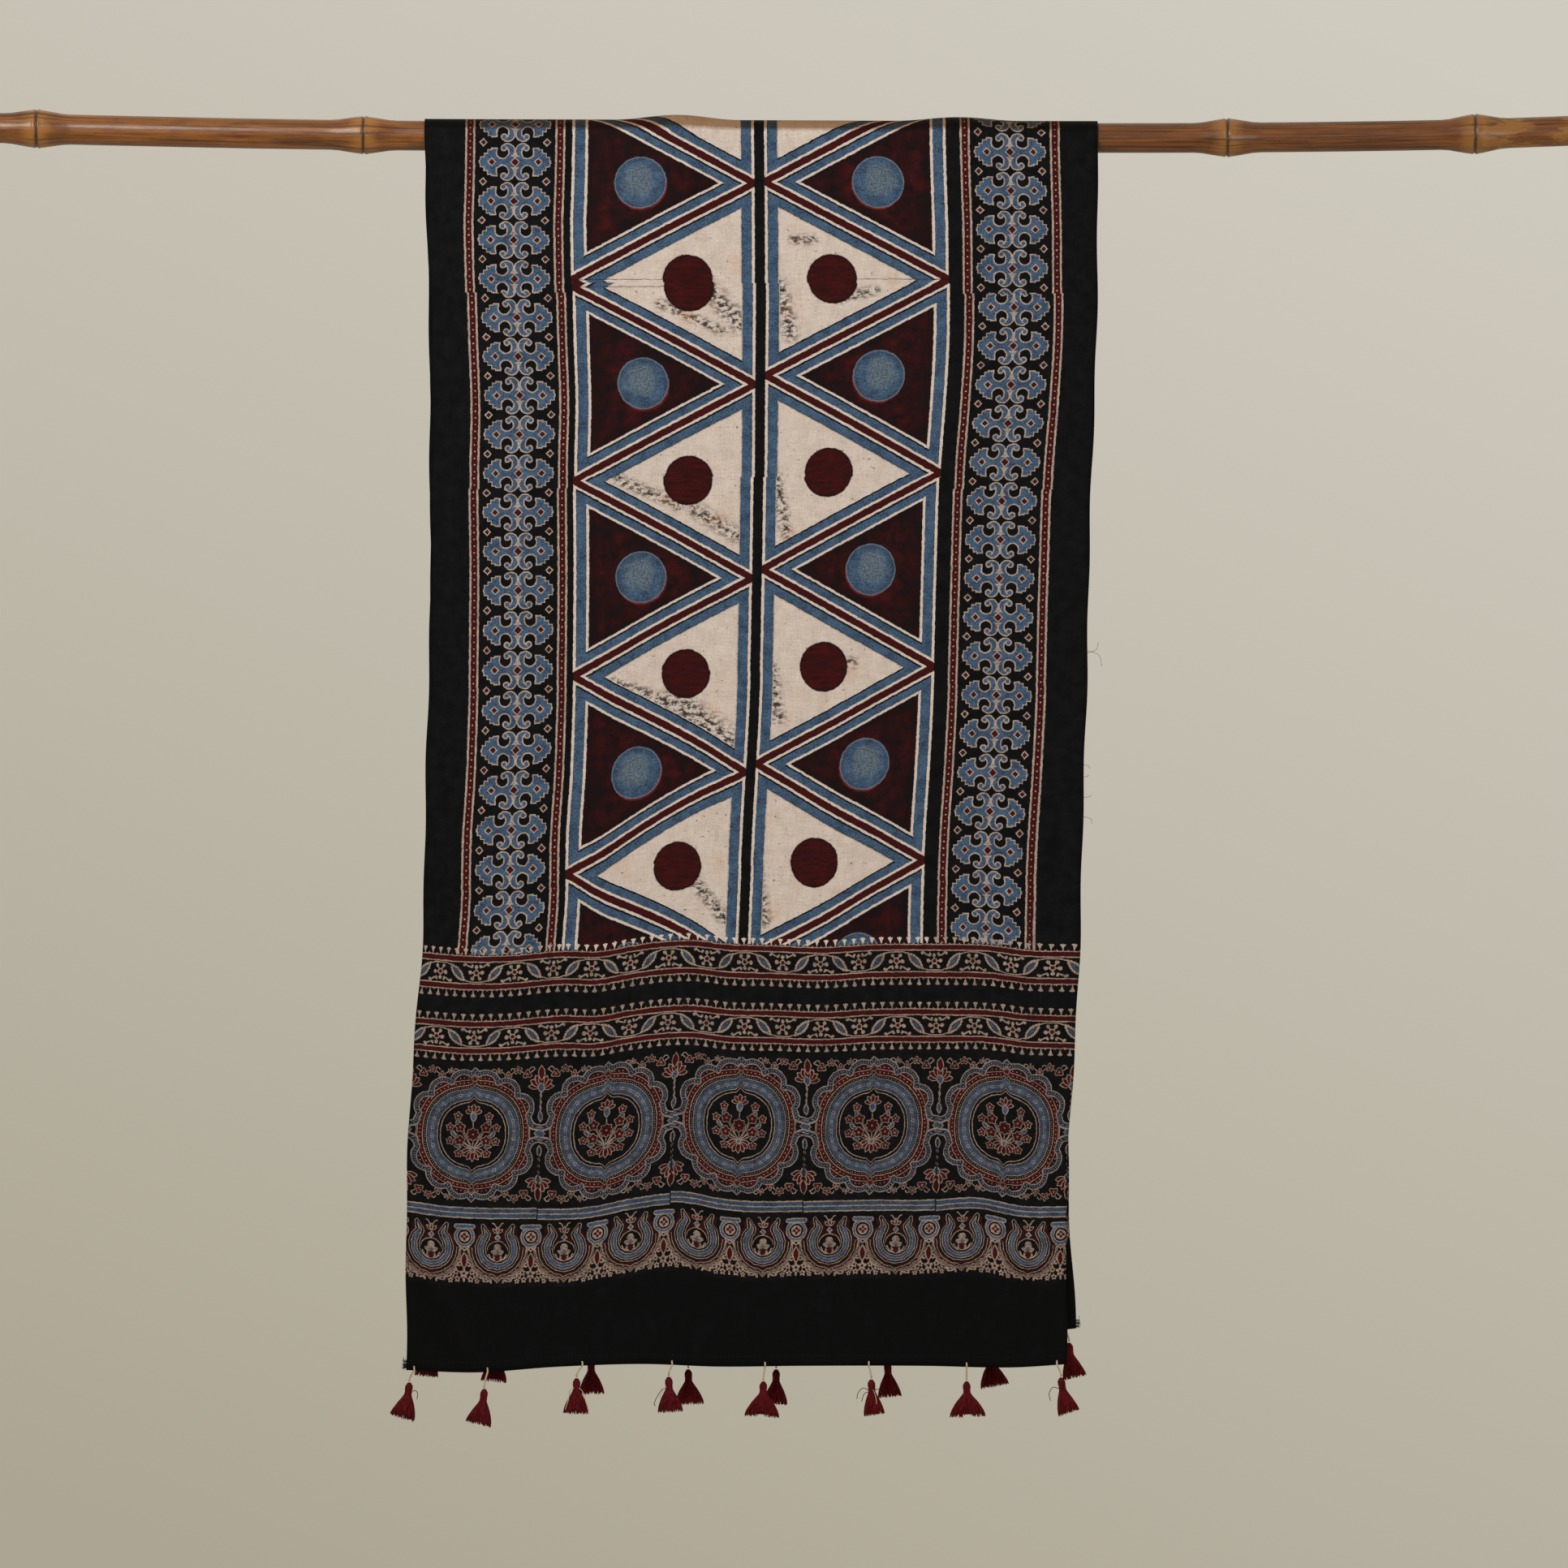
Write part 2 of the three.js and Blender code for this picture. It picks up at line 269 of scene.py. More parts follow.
def smooth_column(rows, key, column):
    """A smooth curve through one column of a table, bending as the solids' own curves do."""
    keys = np.array([getattr(row, key) for row in rows], float)
    values = np.array([getattr(row, column) for row in rows], float)
    last = len(keys) - 1

    def at(place):
        place = np.clip(np.asarray(place, float), keys[0], keys[-1])
        after = np.clip(np.searchsorted(keys, place, side="right"), 1, last)
        before = after - 1
        lead = np.where(after == 1, after, before - 1)
        trail = np.where(after == last, before, np.minimum(after + 1, last))
        step = keys[after] - keys[before]
        pull_in = 0.5 * step / (keys[before] - keys[lead])
        pull_out = 0.5 * step / (keys[trail] - keys[after])
        p = (place - keys[before]) / step
        return (
            values[lead] * (-pull_in * p**3 + 2 * pull_in * p**2 - pull_in * p)
            + values[before] * ((1 + pull_in) * p**3 - (1.5 + 2 * pull_in) * p**2 + (pull_in - 0.5) * p + 1)
            + values[after] * (-(1 + pull_out) * p**3 + (1.5 + pull_out) * p**2 + 0.5 * p)
            + values[trail] * (pull_out * p**3 - pull_out * p**2)
        )

    return at


pole_height = smooth_column(POLE_BOW, "along", "height")


def swell_shape(offset, reach):
    """A rounded swell, 1 at its middle and 0 past its reach."""
    return np.where(np.abs(offset) < reach, 0.5 + 0.5 * np.cos(np.pi * offset / reach), 0.0)


def pole_radius(along):
    """Radius of the pole with its knuckles."""
    return INTERNODE_RADIUS + sum(k.swell * swell_shape(along - k.along, KNUCKLE_REACH) for k in KNUCKLES)


def crest_radius(along):
    """Inside radius of the solid cloth where it goes over the pole."""
    bridges = sum((k.swell + BRIDGE_RISE) * swell_shape(along - k.along, BRIDGE_REACH) for k in KNUCKLES)
    return INTERNODE_RADIUS + POLE_CLEARANCE + bridges


def make_panel(side, length, folds, sections, stripe_lifts, band_lifts, creases):
    """One hanging panel: side is -1 for the front and +1 for the back."""
    return Panel(
        side,
        length,
        smooth_column(folds, "across", "out"),
        smooth_column(folds, "across", "hem"),
        smooth_column(sections, "down", "left"),
        smooth_column(sections, "down", "right"),
        smooth_column(sections, "down", "open"),
        smooth_column(stripe_lifts, "across", "rise"),
        smooth_column(band_lifts, "across", "rise"),
        creases,
    )


# Creases of a panel: a ridge from one place to another, as wide and as high as given.
# A place is across the cloth and up from its hem.
Crease = namedtuple("Crease", "start end width height")
FRONT_CREASES = [
    Crease((22, 84), (50, 14), 9, 3.2),
    Crease((64, 60), (74, 8), 15, -1.2),
    Crease((0, 1014), (560, 1014), 2.5, -0.5),
    Crease((118, 300), (136, 20), 24, -1.4),
    Crease((205, 980), (214, 640), 26, 0.9),
    Crease((232, 420), (236, 120), 16, 1.1),
    Crease((352, 960), (338, 560), 28, -0.9),
    Crease((478, 520), (484, 60), 22, 1.2),
    Crease((548, 900), (552, 300), 14, 1.2),
    Crease((14, 820), (6, 420), 14, 1.1),
]
BACK_CREASES = [
    Crease((40, 60), (62, 10), 14, 1.4),
    Crease((120, 760), (132, 240), 26, 1.3),
    Crease((0, 996), (560, 996), 2.5, -0.5),
    Crease((300, 420), (312, 30), 20, -1.2),
    Crease((470, 640), (462, 160), 24, 1.3),
]


FRONT = make_panel(-1, FRONT_LENGTH, FRONT_FOLDS, FRONT_SECTIONS, STRIPE_LIFTS, BAND_LIFTS, FRONT_CREASES)
BACK = make_panel(1, BACK_LENGTH, BACK_FOLDS, BACK_SECTIONS, BACK_LIFTS, BACK_LIFTS, BACK_CREASES)
FRONT_SLIDES = [smooth_column(SLIDES, "along", side) for side in ("left", "middle", "right")]


def panel_point(panel, across, rise, inset):
    """A point of a hanging panel, inset inwards from its outer face and rise up from its hem."""
    across = np.asarray(across, float)
    down = panel.hem(across) - rise
    near_pole = rise / panel.hem(across)
    x = panel.left(down) + (panel.right(down) - panel.left(down)) * across / CLOTH_WIDTH
    plain = INTERNODE_RADIUS + POLE_CLEARANCE
    radius = plain + (crest_radius(x) - plain) * np.clip(near_pole, 0, 1) ** SWELL_FADE
    out = radius + SOLID_THICKNESS + panel.fold(across) * panel.open(down)
    return np.stack([x, panel.side * (out - inset), pole_height(x) * near_pole - down], -1)


def wrap_point(across, angle, inset):
    """A point of the cloth over the pole, angle 0 at the front and pi at the back."""
    x = np.asarray(across, float) - CLOTH_WIDTH / 2
    radius = crest_radius(x) + SOLID_THICKNESS - inset
    return np.stack([x, -radius * np.cos(angle), pole_height(x) + radius * np.sin(angle)], -1)


def add_object(name, data):
    """A new object in the scene."""
    added = bpy.data.objects.new(name, data)
    bpy.context.scene.collection.objects.link(added)
    return added


def new_piece(name, vertices, faces):
    """A smooth mesh object from millimetre vertices, riding on the part's one body."""
    mesh = bpy.data.meshes.new(name)
    mesh.from_pydata((np.asarray(vertices, float) * MM).tolist(), [], [tuple(face) for face in faces])
    mesh.polygons.foreach_set("use_smooth", [True] * len(mesh.polygons))
    mesh.update()
    piece = add_object(name, mesh)
    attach(piece, BODY)
    return piece


def crease_height(creases, across, rise):
    """How far the creases lift the cloth at places on a panel."""
    lift = np.zeros(np.broadcast(across, rise).shape)
    for crease in creases:
        start = np.array(crease.start, float)
        run = np.array(crease.end, float) - start
        share = np.clip(((across - start[0]) * run[0] + (rise - start[1]) * run[1]) / (run @ run), 0, 1)
        away = np.hypot(across - start[0] - share * run[0], rise - start[1] - share * run[1])
        lift += crease.height * np.exp(-((away / crease.width) ** 2))
    return lift


def ripple(across, rise):
    """The slight unevenness of a hand-woven cloth that has been folded and worn."""
    slow = np.sin(across / 31 + rise / 170) * np.sin(rise / 74 - across / 190)
    quick = np.sin(across / 11.7 + 1.3 * np.sin(rise / 46)) * np.sin(rise / 23 + 0.6 * np.sin(across / 19))
    return 0.7 * slow + 0.22 * quick


SELVEDGE_FADE = 14
RIPPLE_FADE = 60


def edge_wander(across, rise):
    """Sideways wander of the selvedges, fading towards the middle of the cloth."""
    near = np.exp(-np.minimum(across, CLOTH_WIDTH - across) / SELVEDGE_FADE)
    return near * (0.6 * np.sin(rise / 17) + 0.5 * np.sin(rise / 43 + 1))


def face_point(panel, across, rise, inset):
    """A point of a panel's sheet, with its creases and unevenness, inset from its outer face."""
    points = panel_point(panel, across, rise, inset)
    hang = np.clip((panel.length - rise) / RIPPLE_FADE, 0, 1)
    points[..., 0] += edge_wander(across, rise) * hang
    relief = crease_height(panel.creases, across, rise) + ripple(across, rise) * hang
    points[..., 1] += panel.side * relief
    return points


def sheet_rows(along, inset):
    """Points of one row of the sheet at a distance along the print from the front hem, for all columns."""
    across = CLOTH_COLUMNS
    if FRONT_LENGTH < along < FRONT_LENGTH + WRAP_LENGTH:
        angle = math.pi * (along - FRONT_LENGTH) / WRAP_LENGTH
        return wrap_point(across, angle, inset)
    on_front = along <= FRONT_LENGTH
    panel = FRONT if on_front else BACK
    reach = along if on_front else CLOTH_LENGTH - along
    high = np.clip((reach - BAND_LIFT_FROM) / (BAND_LIFT_FULL_AT - BAND_LIFT_FROM), 0, 1)
    slack = np.clip(min(reach / LIFT_FULL_AT, 1 - (reach - LIFT_FADE_FROM) / LIFT_FADE), 0, 1)
    lift = (panel.stripe_lift(across) * (1 - high) + panel.band_lift(across) * high) * slack
    rise = panel.hem(across) * (reach + lift) / panel.length
    if on_front:
        left, middle, right = (float(slide(along)) for slide in FRONT_SLIDES)
        drag = np.interp(across, SLIDE_STOPS, [0, left, left, middle, right, right, 0])
        across = across + drag * min(1, (panel.length - reach) / LIFT_FULL_AT)
    return face_point(panel, across, rise, inset)


def stretches(stops, pitch):
    """Even steps of about one pitch between stops, each stop included once."""
    places = [stops[0]]
    for start, end in zip(stops, stops[1:]):
        count = max(1, round((end - start) / pitch))
        places += [start + (end - start) * (step + 1) / count for step in range(count)]
    return places


# Where the print's zones meet, so that each row or column of faces lies in one zone
SIDE_BORDER_LEFT = 120.5
SIDE_BORDER_RIGHT = 439
END_STOPS = [0, HEM_DEPTH, HEM_DEPTH + HEM_STEP, PLAIN_END, PAISLEY_END, MEDALLION_END, BANDS_END]
FRONT_ROW_PITCH = 5.4
BACK_ROW_PITCH = 6.6
WRAP_ROW_PITCH = 2
COLUMN_PITCH = 4.9
CLOTH_COLUMNS = np.array(stretches([0, SIDE_BORDER_LEFT, SIDE_BORDER_RIGHT, CLOTH_WIDTH], COLUMN_PITCH))
FRONT_ROWS = stretches([*END_STOPS, FRONT_LENGTH], FRONT_ROW_PITCH)
WRAP_ROWS = stretches([FRONT_LENGTH, FRONT_LENGTH + WRAP_LENGTH], WRAP_ROW_PITCH)[1:-1]
BACK_ROWS = [CLOTH_LENGTH - row for row in reversed(stretches([*END_STOPS, BACK_LENGTH], BACK_ROW_PITCH))]
CLOTH_ROWS = [*FRONT_ROWS, *WRAP_ROWS, *BACK_ROWS]

ZONES = ["plain", "paisley", "medallion", "bands", "side", "field"]
ZONE_ENDS = [PLAIN_END, PAISLEY_END, MEDALLION_END, BANDS_END]


def zone_of(across, along):
    """Which zone of the print a face's middle lies in."""
    reach = min(along, CLOTH_LENGTH - along)
    for zone, end in zip(ZONES, ZONE_ENDS):
        if reach < end:
            return ZONES.index(zone)
    inside = SIDE_BORDER_LEFT < across < SIDE_BORDER_RIGHT
    return ZONES.index("field" if inside else "side")


def row_thickness(along):
    """Thickness of the sheet, doubled over at its hems."""
    reach = min(along, CLOTH_LENGTH - along)
    share = np.clip((HEM_DEPTH + HEM_STEP - reach) / HEM_STEP, 0, 1)
    return SHEET_THICKNESS + (HEM_THICKNESS - SHEET_THICKNESS) * share


def make_cloth():
    """The sheet with both faces, its selvedges and hems, and the print's own coordinates."""
    columns = len(CLOTH_COLUMNS)
    rows = len(CLOTH_ROWS)
    outer_points = [sheet_rows(along, 0) for along in CLOTH_ROWS]
    inner_points = [sheet_rows(along, row_thickness(along)) for along in CLOTH_ROWS]
    vertices = np.concatenate([*outer_points, *inner_points])
    layer = columns * rows
    faces = []
    zones = []
    for row in range(rows - 1):
        for column in range(columns - 1):
            corner = row * columns + column
            quad = [corner, corner + 1, corner + columns + 1, corner + columns]
            middle = (CLOTH_COLUMNS[column] + CLOTH_COLUMNS[column + 1]) / 2
            zone = zone_of(middle, (CLOTH_ROWS[row] + CLOTH_ROWS[row + 1]) / 2)
            faces += [quad, [layer + place for place in reversed(quad)]]
            zones += [zone, zone]
        left = row * columns
        right = left + columns - 1
        zone = zone_of(0, (CLOTH_ROWS[row] + CLOTH_ROWS[row + 1]) / 2)
        faces.append([left, left + columns, layer + left + columns, layer + left])
        faces.append([right, layer + right, layer + right + columns, right + columns])
        zones += [zone, zone]
    top = (rows - 1) * columns
    for column in range(columns - 1):
        faces.append([column, layer + column, layer + column + 1, column + 1])
        faces.append([top + column, top + column + 1, layer + top + column + 1, layer + top + column])
        zones += [0, 0]
    cloth = new_piece("ajrakh_cloth", vertices, faces)
    cloth.data.polygons.foreach_set("material_index", zones)
    add_cloth_charts(cloth.data, layer)
    return cloth


# The flat chart: where the front half of a face starts, how far on the back half is, and how wide each is
FlatFace = namedtuple("FlatFace", "start pitch width")
OUTER_FACE = FlatFace(0.005, 0.4, 0.39)
INNER_FACE = FlatFace(0.805, 0.1, 0.09)
CHART_MARGIN = 0.004
INSIDE_SHARE = 0.75


def add_cloth_charts(mesh, layer):
    """The print's coordinates in metres, turned about at the back end, and a flat chart of both faces."""
    columns = len(CLOTH_COLUMNS)
    loops = np.empty(len(mesh.loops), int)
    mesh.loops.foreach_get("vertex_index", loops)
    sheet_loops = loops % layer
    across = CLOTH_COLUMNS[sheet_loops % columns]
    along = np.array(CLOTH_ROWS)[sheet_loops // columns]
    sizes = np.empty(len(mesh.polygons), int)
    mesh.polygons.foreach_get("loop_total", sizes)
    zones = np.empty(len(mesh.polygons), int)
    mesh.polygons.foreach_get("material_index", zones)
    face_of_loop = np.repeat(np.arange(len(sizes)), sizes)
    middle = np.bincount(face_of_loop, along) / sizes
    turned = ((zones < ZONES.index("side")) & (middle > CLOTH_LENGTH / 2))[face_of_loop]
    printed = np.stack(
        [np.where(turned, CLOTH_WIDTH - across, across), np.where(turned, CLOTH_LENGTH - along, along)], -1
    )
    on_back = (middle > CLOTH_LENGTH / 2)[face_of_loop]
    half = CLOTH_LENGTH / 2
    inside = (np.bincount(face_of_loop, loops >= layer) / sizes >= INSIDE_SHARE)[face_of_loop]
    reach = np.where(on_back, along - half, along) / half
    start, pitch, width = (np.where(inside, *pair) for pair in zip(INNER_FACE, OUTER_FACE))
    aside = start + pitch * on_back + width * across / CLOTH_WIDTH
    flat = np.stack([aside, CHART_MARGIN + (1 - 2 * CHART_MARGIN) * reach], -1)
    for name, chart in (("Print", printed * MM), ("OFBake", flat)):
        mesh.uv_layers.new(name=name).data.foreach_set("uv", chart.astype(np.float32).ravel())


class Field:
    """A number that varies over a surface. Arithmetic on it adds Math nodes to its material."""

    def __init__(self, tree, socket):
        self.tree = tree
        self.socket = socket

    def math(self, operation, *others, clamp=False):
        return add_math(self.tree, operation, (self, *others), clamp)

    def __add__(self, other):
        return self.math("ADD", other)

    def __sub__(self, other):
        return self.math("SUBTRACT", other)

    def __rsub__(self, other):
        return add_math(self.tree, "SUBTRACT", (other, self))

    def __mul__(self, other):
        return self.math("MULTIPLY", other)

    def __neg__(self):
        return self * -1.0

    def __abs__(self):
        return self.math("ABSOLUTE")

    __radd__ = __add__
    __rmul__ = __mul__

    def row(self, centre, pitch):
        """Distance from the nearest of a row of centres."""
        return (self - centre).math("PINGPONG", pitch / 2)

    def past(self, limit):
        """1 beyond the limit and 0 before it."""
        return self.math("GREATER_THAN", limit)

    def between(self, low, high):
        """A 0 to 1 ramp from low to high."""
        return (self - low).math("DIVIDE", high - low, clamp=True)


def plug(tree, socket, value):
    """Links a field or place to a socket, or sets the socket to a constant."""
    if isinstance(value, (Field, Place)):
        tree.links.new(value.socket, socket)
    elif isinstance(value, bpy.types.NodeSocket):
        tree.links.new(value, socket)
    else:
        socket.default_value = value


def add_math(tree, operation, values, clamp=False):
    node = tree.nodes.new("ShaderNodeMath")
    node.operation = operation
    node.use_clamp = clamp
    for socket, value in zip(node.inputs, values):
        plug(tree, socket, value)
    return Field(tree, node.outputs[0])


def add_vector_math(tree, operation, *values):
    node = tree.nodes.new("ShaderNodeVectorMath")
    node.operation = operation
    for socket, value in zip(node.inputs, values):
        plug(tree, socket, value)
    return node


class Place:
    """A point that varies over a surface. Its distances to shapes are Fields, negative inside a shape."""

    def __init__(self, tree, socket):
        self.tree = tree
        self.socket = socket

    @classmethod
    def at(cls, x, y):
        node = x.tree.nodes.new("ShaderNodeCombineXYZ")
        plug(x.tree, node.inputs[0], x)
        plug(x.tree, node.inputs[1], y)
        return cls(x.tree, node.outputs[0])

    def measure(self, operation, vector):
        return Field(self.tree, add_vector_math(self.tree, operation, self, vector).outputs["Value"])

    def vector(self, operation, *vectors):
        return Place(self.tree, add_vector_math(self.tree, operation, self, *vectors).outputs["Vector"])

    def parts(self):
        node = self.tree.nodes.new("ShaderNodeSeparateXYZ")
        plug(self.tree, node.inputs[0], self)
        return Field(self.tree, node.outputs[0]), Field(self.tree, node.outputs[1])

    def disc(self, x, y, radius):
        return self.measure("DISTANCE", (x, y, 0)) - radius

    def reach(self, start, end):
        """The distance to a straight line between two points."""
        run = Vector((end[0] - start[0], end[1] - start[1], 0))
        pace = run / run.length_squared
        offset = pace.dot(Vector((*start, 0)))
        share = self.measure("DOT_PRODUCT", pace).math("SUBTRACT", offset, clamp=True)
        scaled = self.tree.nodes.new("ShaderNodeVectorMath")
        scaled.operation = "SCALE"
        scaled.inputs[0].default_value = run
        plug(self.tree, scaled.inputs["Scale"], share)
        nearest = Place(self.tree, scaled.outputs["Vector"]).vector("ADD", (*start, 0))
        return Field(self.tree, add_vector_math(self.tree, "DISTANCE", self, nearest).outputs["Value"])

    def stroke(self, start, end, half):
        """A straight line with round ends."""
        return self.reach(start, end) - half

    def path(self, points, half):
        """A line with round ends through given points."""
        return union(*(self.reach(start, end) for start, end in zip(points, points[1:]))) - half

    def turned(self, x, y, degrees):
        """The place seen from a point, its first axis turned anticlockwise by some degrees."""
        node = self.tree.nodes.new("ShaderNodeVectorRotate")
        node.rotation_type = "Z_AXIS"
        plug(self.tree, node.inputs["Vector"], self)
        node.inputs["Center"].default_value = (x, y, 0)
        node.inputs["Angle"].default_value = -math.radians(degrees)
        return Place(self.tree, node.outputs[0]).vector("SUBTRACT", (x, y, 0))

    def leaf(self, half_length, half_width):
        """A pointed leaf along the first axis."""
        radius = (half_length**2 + half_width**2) / (2 * half_width)
        return self.vector("ABSOLUTE").disc(0, half_width - radius, radius)

    def flower(self, x, y, radius, petals, depth):
        """A flower's outline: a disc with rounded petals."""
        seen = self.vector("SUBTRACT", (x, y, 0))
        across, up = seen.parts()
        wave = (across.math("ARCTAN2", up) * petals).math("COSINE")
        return seen.measure("LENGTH", (0, 0, 0)) - wave.math("MULTIPLY_ADD", depth, radius)


def union(*shapes):
    return reduce(lambda one, other: one.math("MINIMUM", other), shapes)


def overlap(*shapes):
    return reduce(lambda one, other: one.math("MAXIMUM", other), shapes)


def without(shape, cut):
    return overlap(shape, -cut)


def line(shape, half, middle=0.0):
    """A line along one of a shape's outlines."""
    return abs(shape - middle) - half if middle else abs(shape) - half


def linear(red, green, blue):
    """A colour from 0 to 255 numbers, as light."""
    def light(value):
        share = value / 255
        return share / 12.92 if share <= 0.04045 else ((share + 0.055) / 1.055) ** 2.4

    return (light(red), light(green), light(blue), 1.0)


def add_noise(tree, place, scale, detail=2.0, roughness=0.5):
    node = tree.nodes.new("ShaderNodeTexNoise")
    node.inputs["Scale"].default_value = scale
    node.inputs["Detail"].default_value = detail
    node.inputs["Roughness"].default_value = roughness
    plug(tree, node.inputs["Vector"], place)
    return node


def noise(tree, place, scale, detail=2.0, roughness=0.5):
    return Field(tree, add_noise(tree, place, scale, detail, roughness).outputs[0])


def mix(tree, share, one, other, blend="MIX"):
    """A mix of two colours by a share, as a colour socket."""
    node = tree.nodes.new("ShaderNodeMix")
    node.data_type = "RGBA"
    node.blend_type = blend
    plug(tree, node.inputs["Factor"], share)
    plug(tree, node.inputs[6], one)
    plug(tree, node.inputs[7], other)
    return node.outputs[2]


EDGE_SOFTNESS = 0.35


class Paint:
    """A colour built up ink by ink."""

    def __init__(self, tree, ground):
        self.tree = tree
        self.colour = ground

    def lay(self, ink, shape, softness=EDGE_SOFTNESS, strength=None):
        cover = shape.math("MULTIPLY_ADD", -1 / softness, 0.5, clamp=True)
        if strength is not None:
            cover = cover * strength
        self.colour = mix(self.tree, cover, self.colour, ink)

    def nest(self, shape, *rims, softness=EDGE_SOFTNESS):
        """Inks one over another, each as far inside the shape's outline as given."""
        for inset, ink in rims:
            self.lay(ink, shape + inset if inset else shape, softness)


Inks = namedtuple("Inks", "black cream blue dark_blue madder dark")
BLACK = (linear(5, 5, 6), linear(15, 14, 16))
CREAM = (linear(206, 193, 184), linear(178, 161, 150))
FINE_CREAM = (linear(186, 166, 152), linear(112, 98, 92))
LOW_CREAM = (linear(170, 148, 134), linear(84, 70, 64))
ZONE_CREAMS = {"field": CREAM, "side": FINE_CREAM}
BLUE = (linear(78, 102, 128), linear(14, 29, 54))
DARK_BLUE = (linear(68, 86, 108), linear(12, 19, 34))
MADDER = (linear(70, 15, 14), linear(38, 8, 9))
DARK_MADDER = (linear(58, 14, 15), linear(18, 9, 10))


def new_material(name):
    material = bpy.data.materials.new(name)
    material.use_nodes = True
    return material, material.node_tree


def set_surface(tree, sockets):
    """Sets or links sockets of a material's shader."""
    shader = tree.nodes["Principled BSDF"]
    for name, value in sockets.items():
        plug(tree, shader.inputs[name], value)


def add_relief(tree, height, strength, depth):
    """Fine relief in a material's shading, as deep as given in millimetres."""
    bump = tree.nodes.new("ShaderNodeBump")
    bump.inputs["Strength"].default_value = strength
    bump.inputs["Distance"].default_value = depth * MM
    plug(tree, bump.inputs["Height"], height)
    set_surface(tree, {"Normal": bump.outputs[0]})


def chart_place(tree, name):
    """A place on one of a mesh's charts, in millimetres."""
    chart = tree.nodes.new("ShaderNodeUVMap")
    chart.uv_map = name
    return Place(tree, chart.outputs[0]).vector("MULTIPLY", (1 / MM, 1 / MM, 0))


WARP_REACH = 0.9
WARP_SCALE = 0.24
WEAVE_PITCH = 0.62


def cloth_place(tree):
    """The print's place in millimetres, with the slight wobble of a hand-cut block."""
    still = chart_place(tree, "Print")
    wobble = Place(tree, add_noise(tree, still, WARP_SCALE, 3.0, 0.62).outputs["Color"])
    shift = wobble.vector("MULTIPLY_ADD", (2 * WARP_REACH,) * 3, (-WARP_REACH, -WARP_REACH, 0))
    return still, still.vector("ADD", shift.socket)


def mix_inks(tree, still, cream):
    """Each ink as a mottled colour."""
    patches = noise(tree, still, 0.09, 5.0, 0.68).between(0.38, 0.64)
    grain = noise(tree, still, 0.75, 2.0, 0.6).between(0.34, 0.68)
    both = patches * 0.4 + grain * 0.6
    return Inks(
        mix(tree, patches, *BLACK),
        mix(tree, both, *cream),
        mix(tree, both, *BLUE),
        mix(tree, both, *DARK_BLUE),
        mix(tree, both, *MADDER),
        mix(tree, patches, *DARK_MADDER),
    )


def cloth_material(zone, draw):
    """The cloth in one zone: its print, its plain weave and the dye's slight sheen."""
    material, tree = new_material(f"ajrakh_{zone}")
    still, place = cloth_place(tree)
    inks = mix_inks(tree, still, ZONE_CREAMS.get(zone, LOW_CREAM))
    paint = Paint(tree, inks.black)
    draw(paint, inks, *place.parts())
    across, along = still.parts()
    warp_thread = across.row(0, WEAVE_PITCH)
    weft_thread = along.row(0, WEAVE_PITCH)
    slub = noise(tree, still.vector("MULTIPLY", (1.5, 0.06, 0)), 1.0, 2.0)
    cross_slub = noise(tree, still.vector("MULTIPLY", (0.05, 1.5, 0)), 1.0, 2.0)
    height = (warp_thread + weft_thread) * 1.2 + slub + cross_slub
    shade = (slub + cross_slub).math("MULTIPLY_ADD", 0.42, 0.58)
    surface = {
        "Base Color": mix(tree, 1.0, paint.colour, shade, "MULTIPLY"),
        "Roughness": slub.math("MULTIPLY_ADD", 0.3, 0.56),
        "Specular IOR Level": 0.07,
        "Sheen Weight": 0.02,
        "Sheen Roughness": 0.4,
    }
    set_surface(tree, surface)
    add_relief(tree, height, 0.3, 0.25)
    return material


# The field: two columns of interlocking triangles each side of a black bar
FIELD_CENTRE = 278.5
FIELD_HALF = 155.2
FIELD_BAR_HALF = 4.1
TRIANGLE_PERIOD = 161.4
RED_APEX_AT = 498
TRIANGLE_WIDTH = FIELD_HALF - FIELD_BAR_HALF
SLOPE = TRIANGLE_WIDTH / (TRIANGLE_PERIOD / 2)
SLANT = 1 / math.hypot(1, SLOPE)
UPRIGHT_SHARE = 0.85
STRIP_HALF = 2.7
BLUE_SLIP = 1.3
STRIP_LINE_HALF = 2.2
BLUE_LINE_HALF = 3.4
BLUE_LINE_INSET = 8.5
EDGE_LINE_HALF = 0.98
EDGE_LINE_INSET = 3.8
RED_LINE_HALF = 0.95
RED_INSET = 13
RED_SHADE_INSET = 19
CREAM_INSET = 12
WEAR_INSET = 12.5
BLUE_DISC = (57, 21.5)
DARK_DISC = (96, 20.5)


def inset_of_triangles(edge_in, zigzag):
    """How far a place is inside a red triangle and inside a cream one."""
    slanted = (zigzag - edge_in) * SLANT
    red = slanted.math("MINIMUM", edge_in.math("MULTIPLY_ADD", UPRIGHT_SHARE, STRIP_HALF))
    to_bar = edge_in.math("MULTIPLY_ADD", -UPRIGHT_SHARE, TRIANGLE_WIDTH * UPRIGHT_SHARE + STRIP_HALF)
    return slanted, red, (-slanted).math("MINIMUM", to_bar)


def zigzag_at(along):
    """Where the slanted strip is, from the column's outer edge."""
    return along.row(RED_APEX_AT, TRIANGLE_PERIOD).math("MULTIPLY_ADD", -SLOPE, TRIANGLE_WIDTH)


FIELD_JOG = 0.6
LEFT_COLUMN_DROP = 3.4
COLUMN_STEP = 7.2
TOP_BLOCK_STEP = 6
JOINT_HALF = 0.35
JOINT_END = 77
JOINTS_FROM = 780


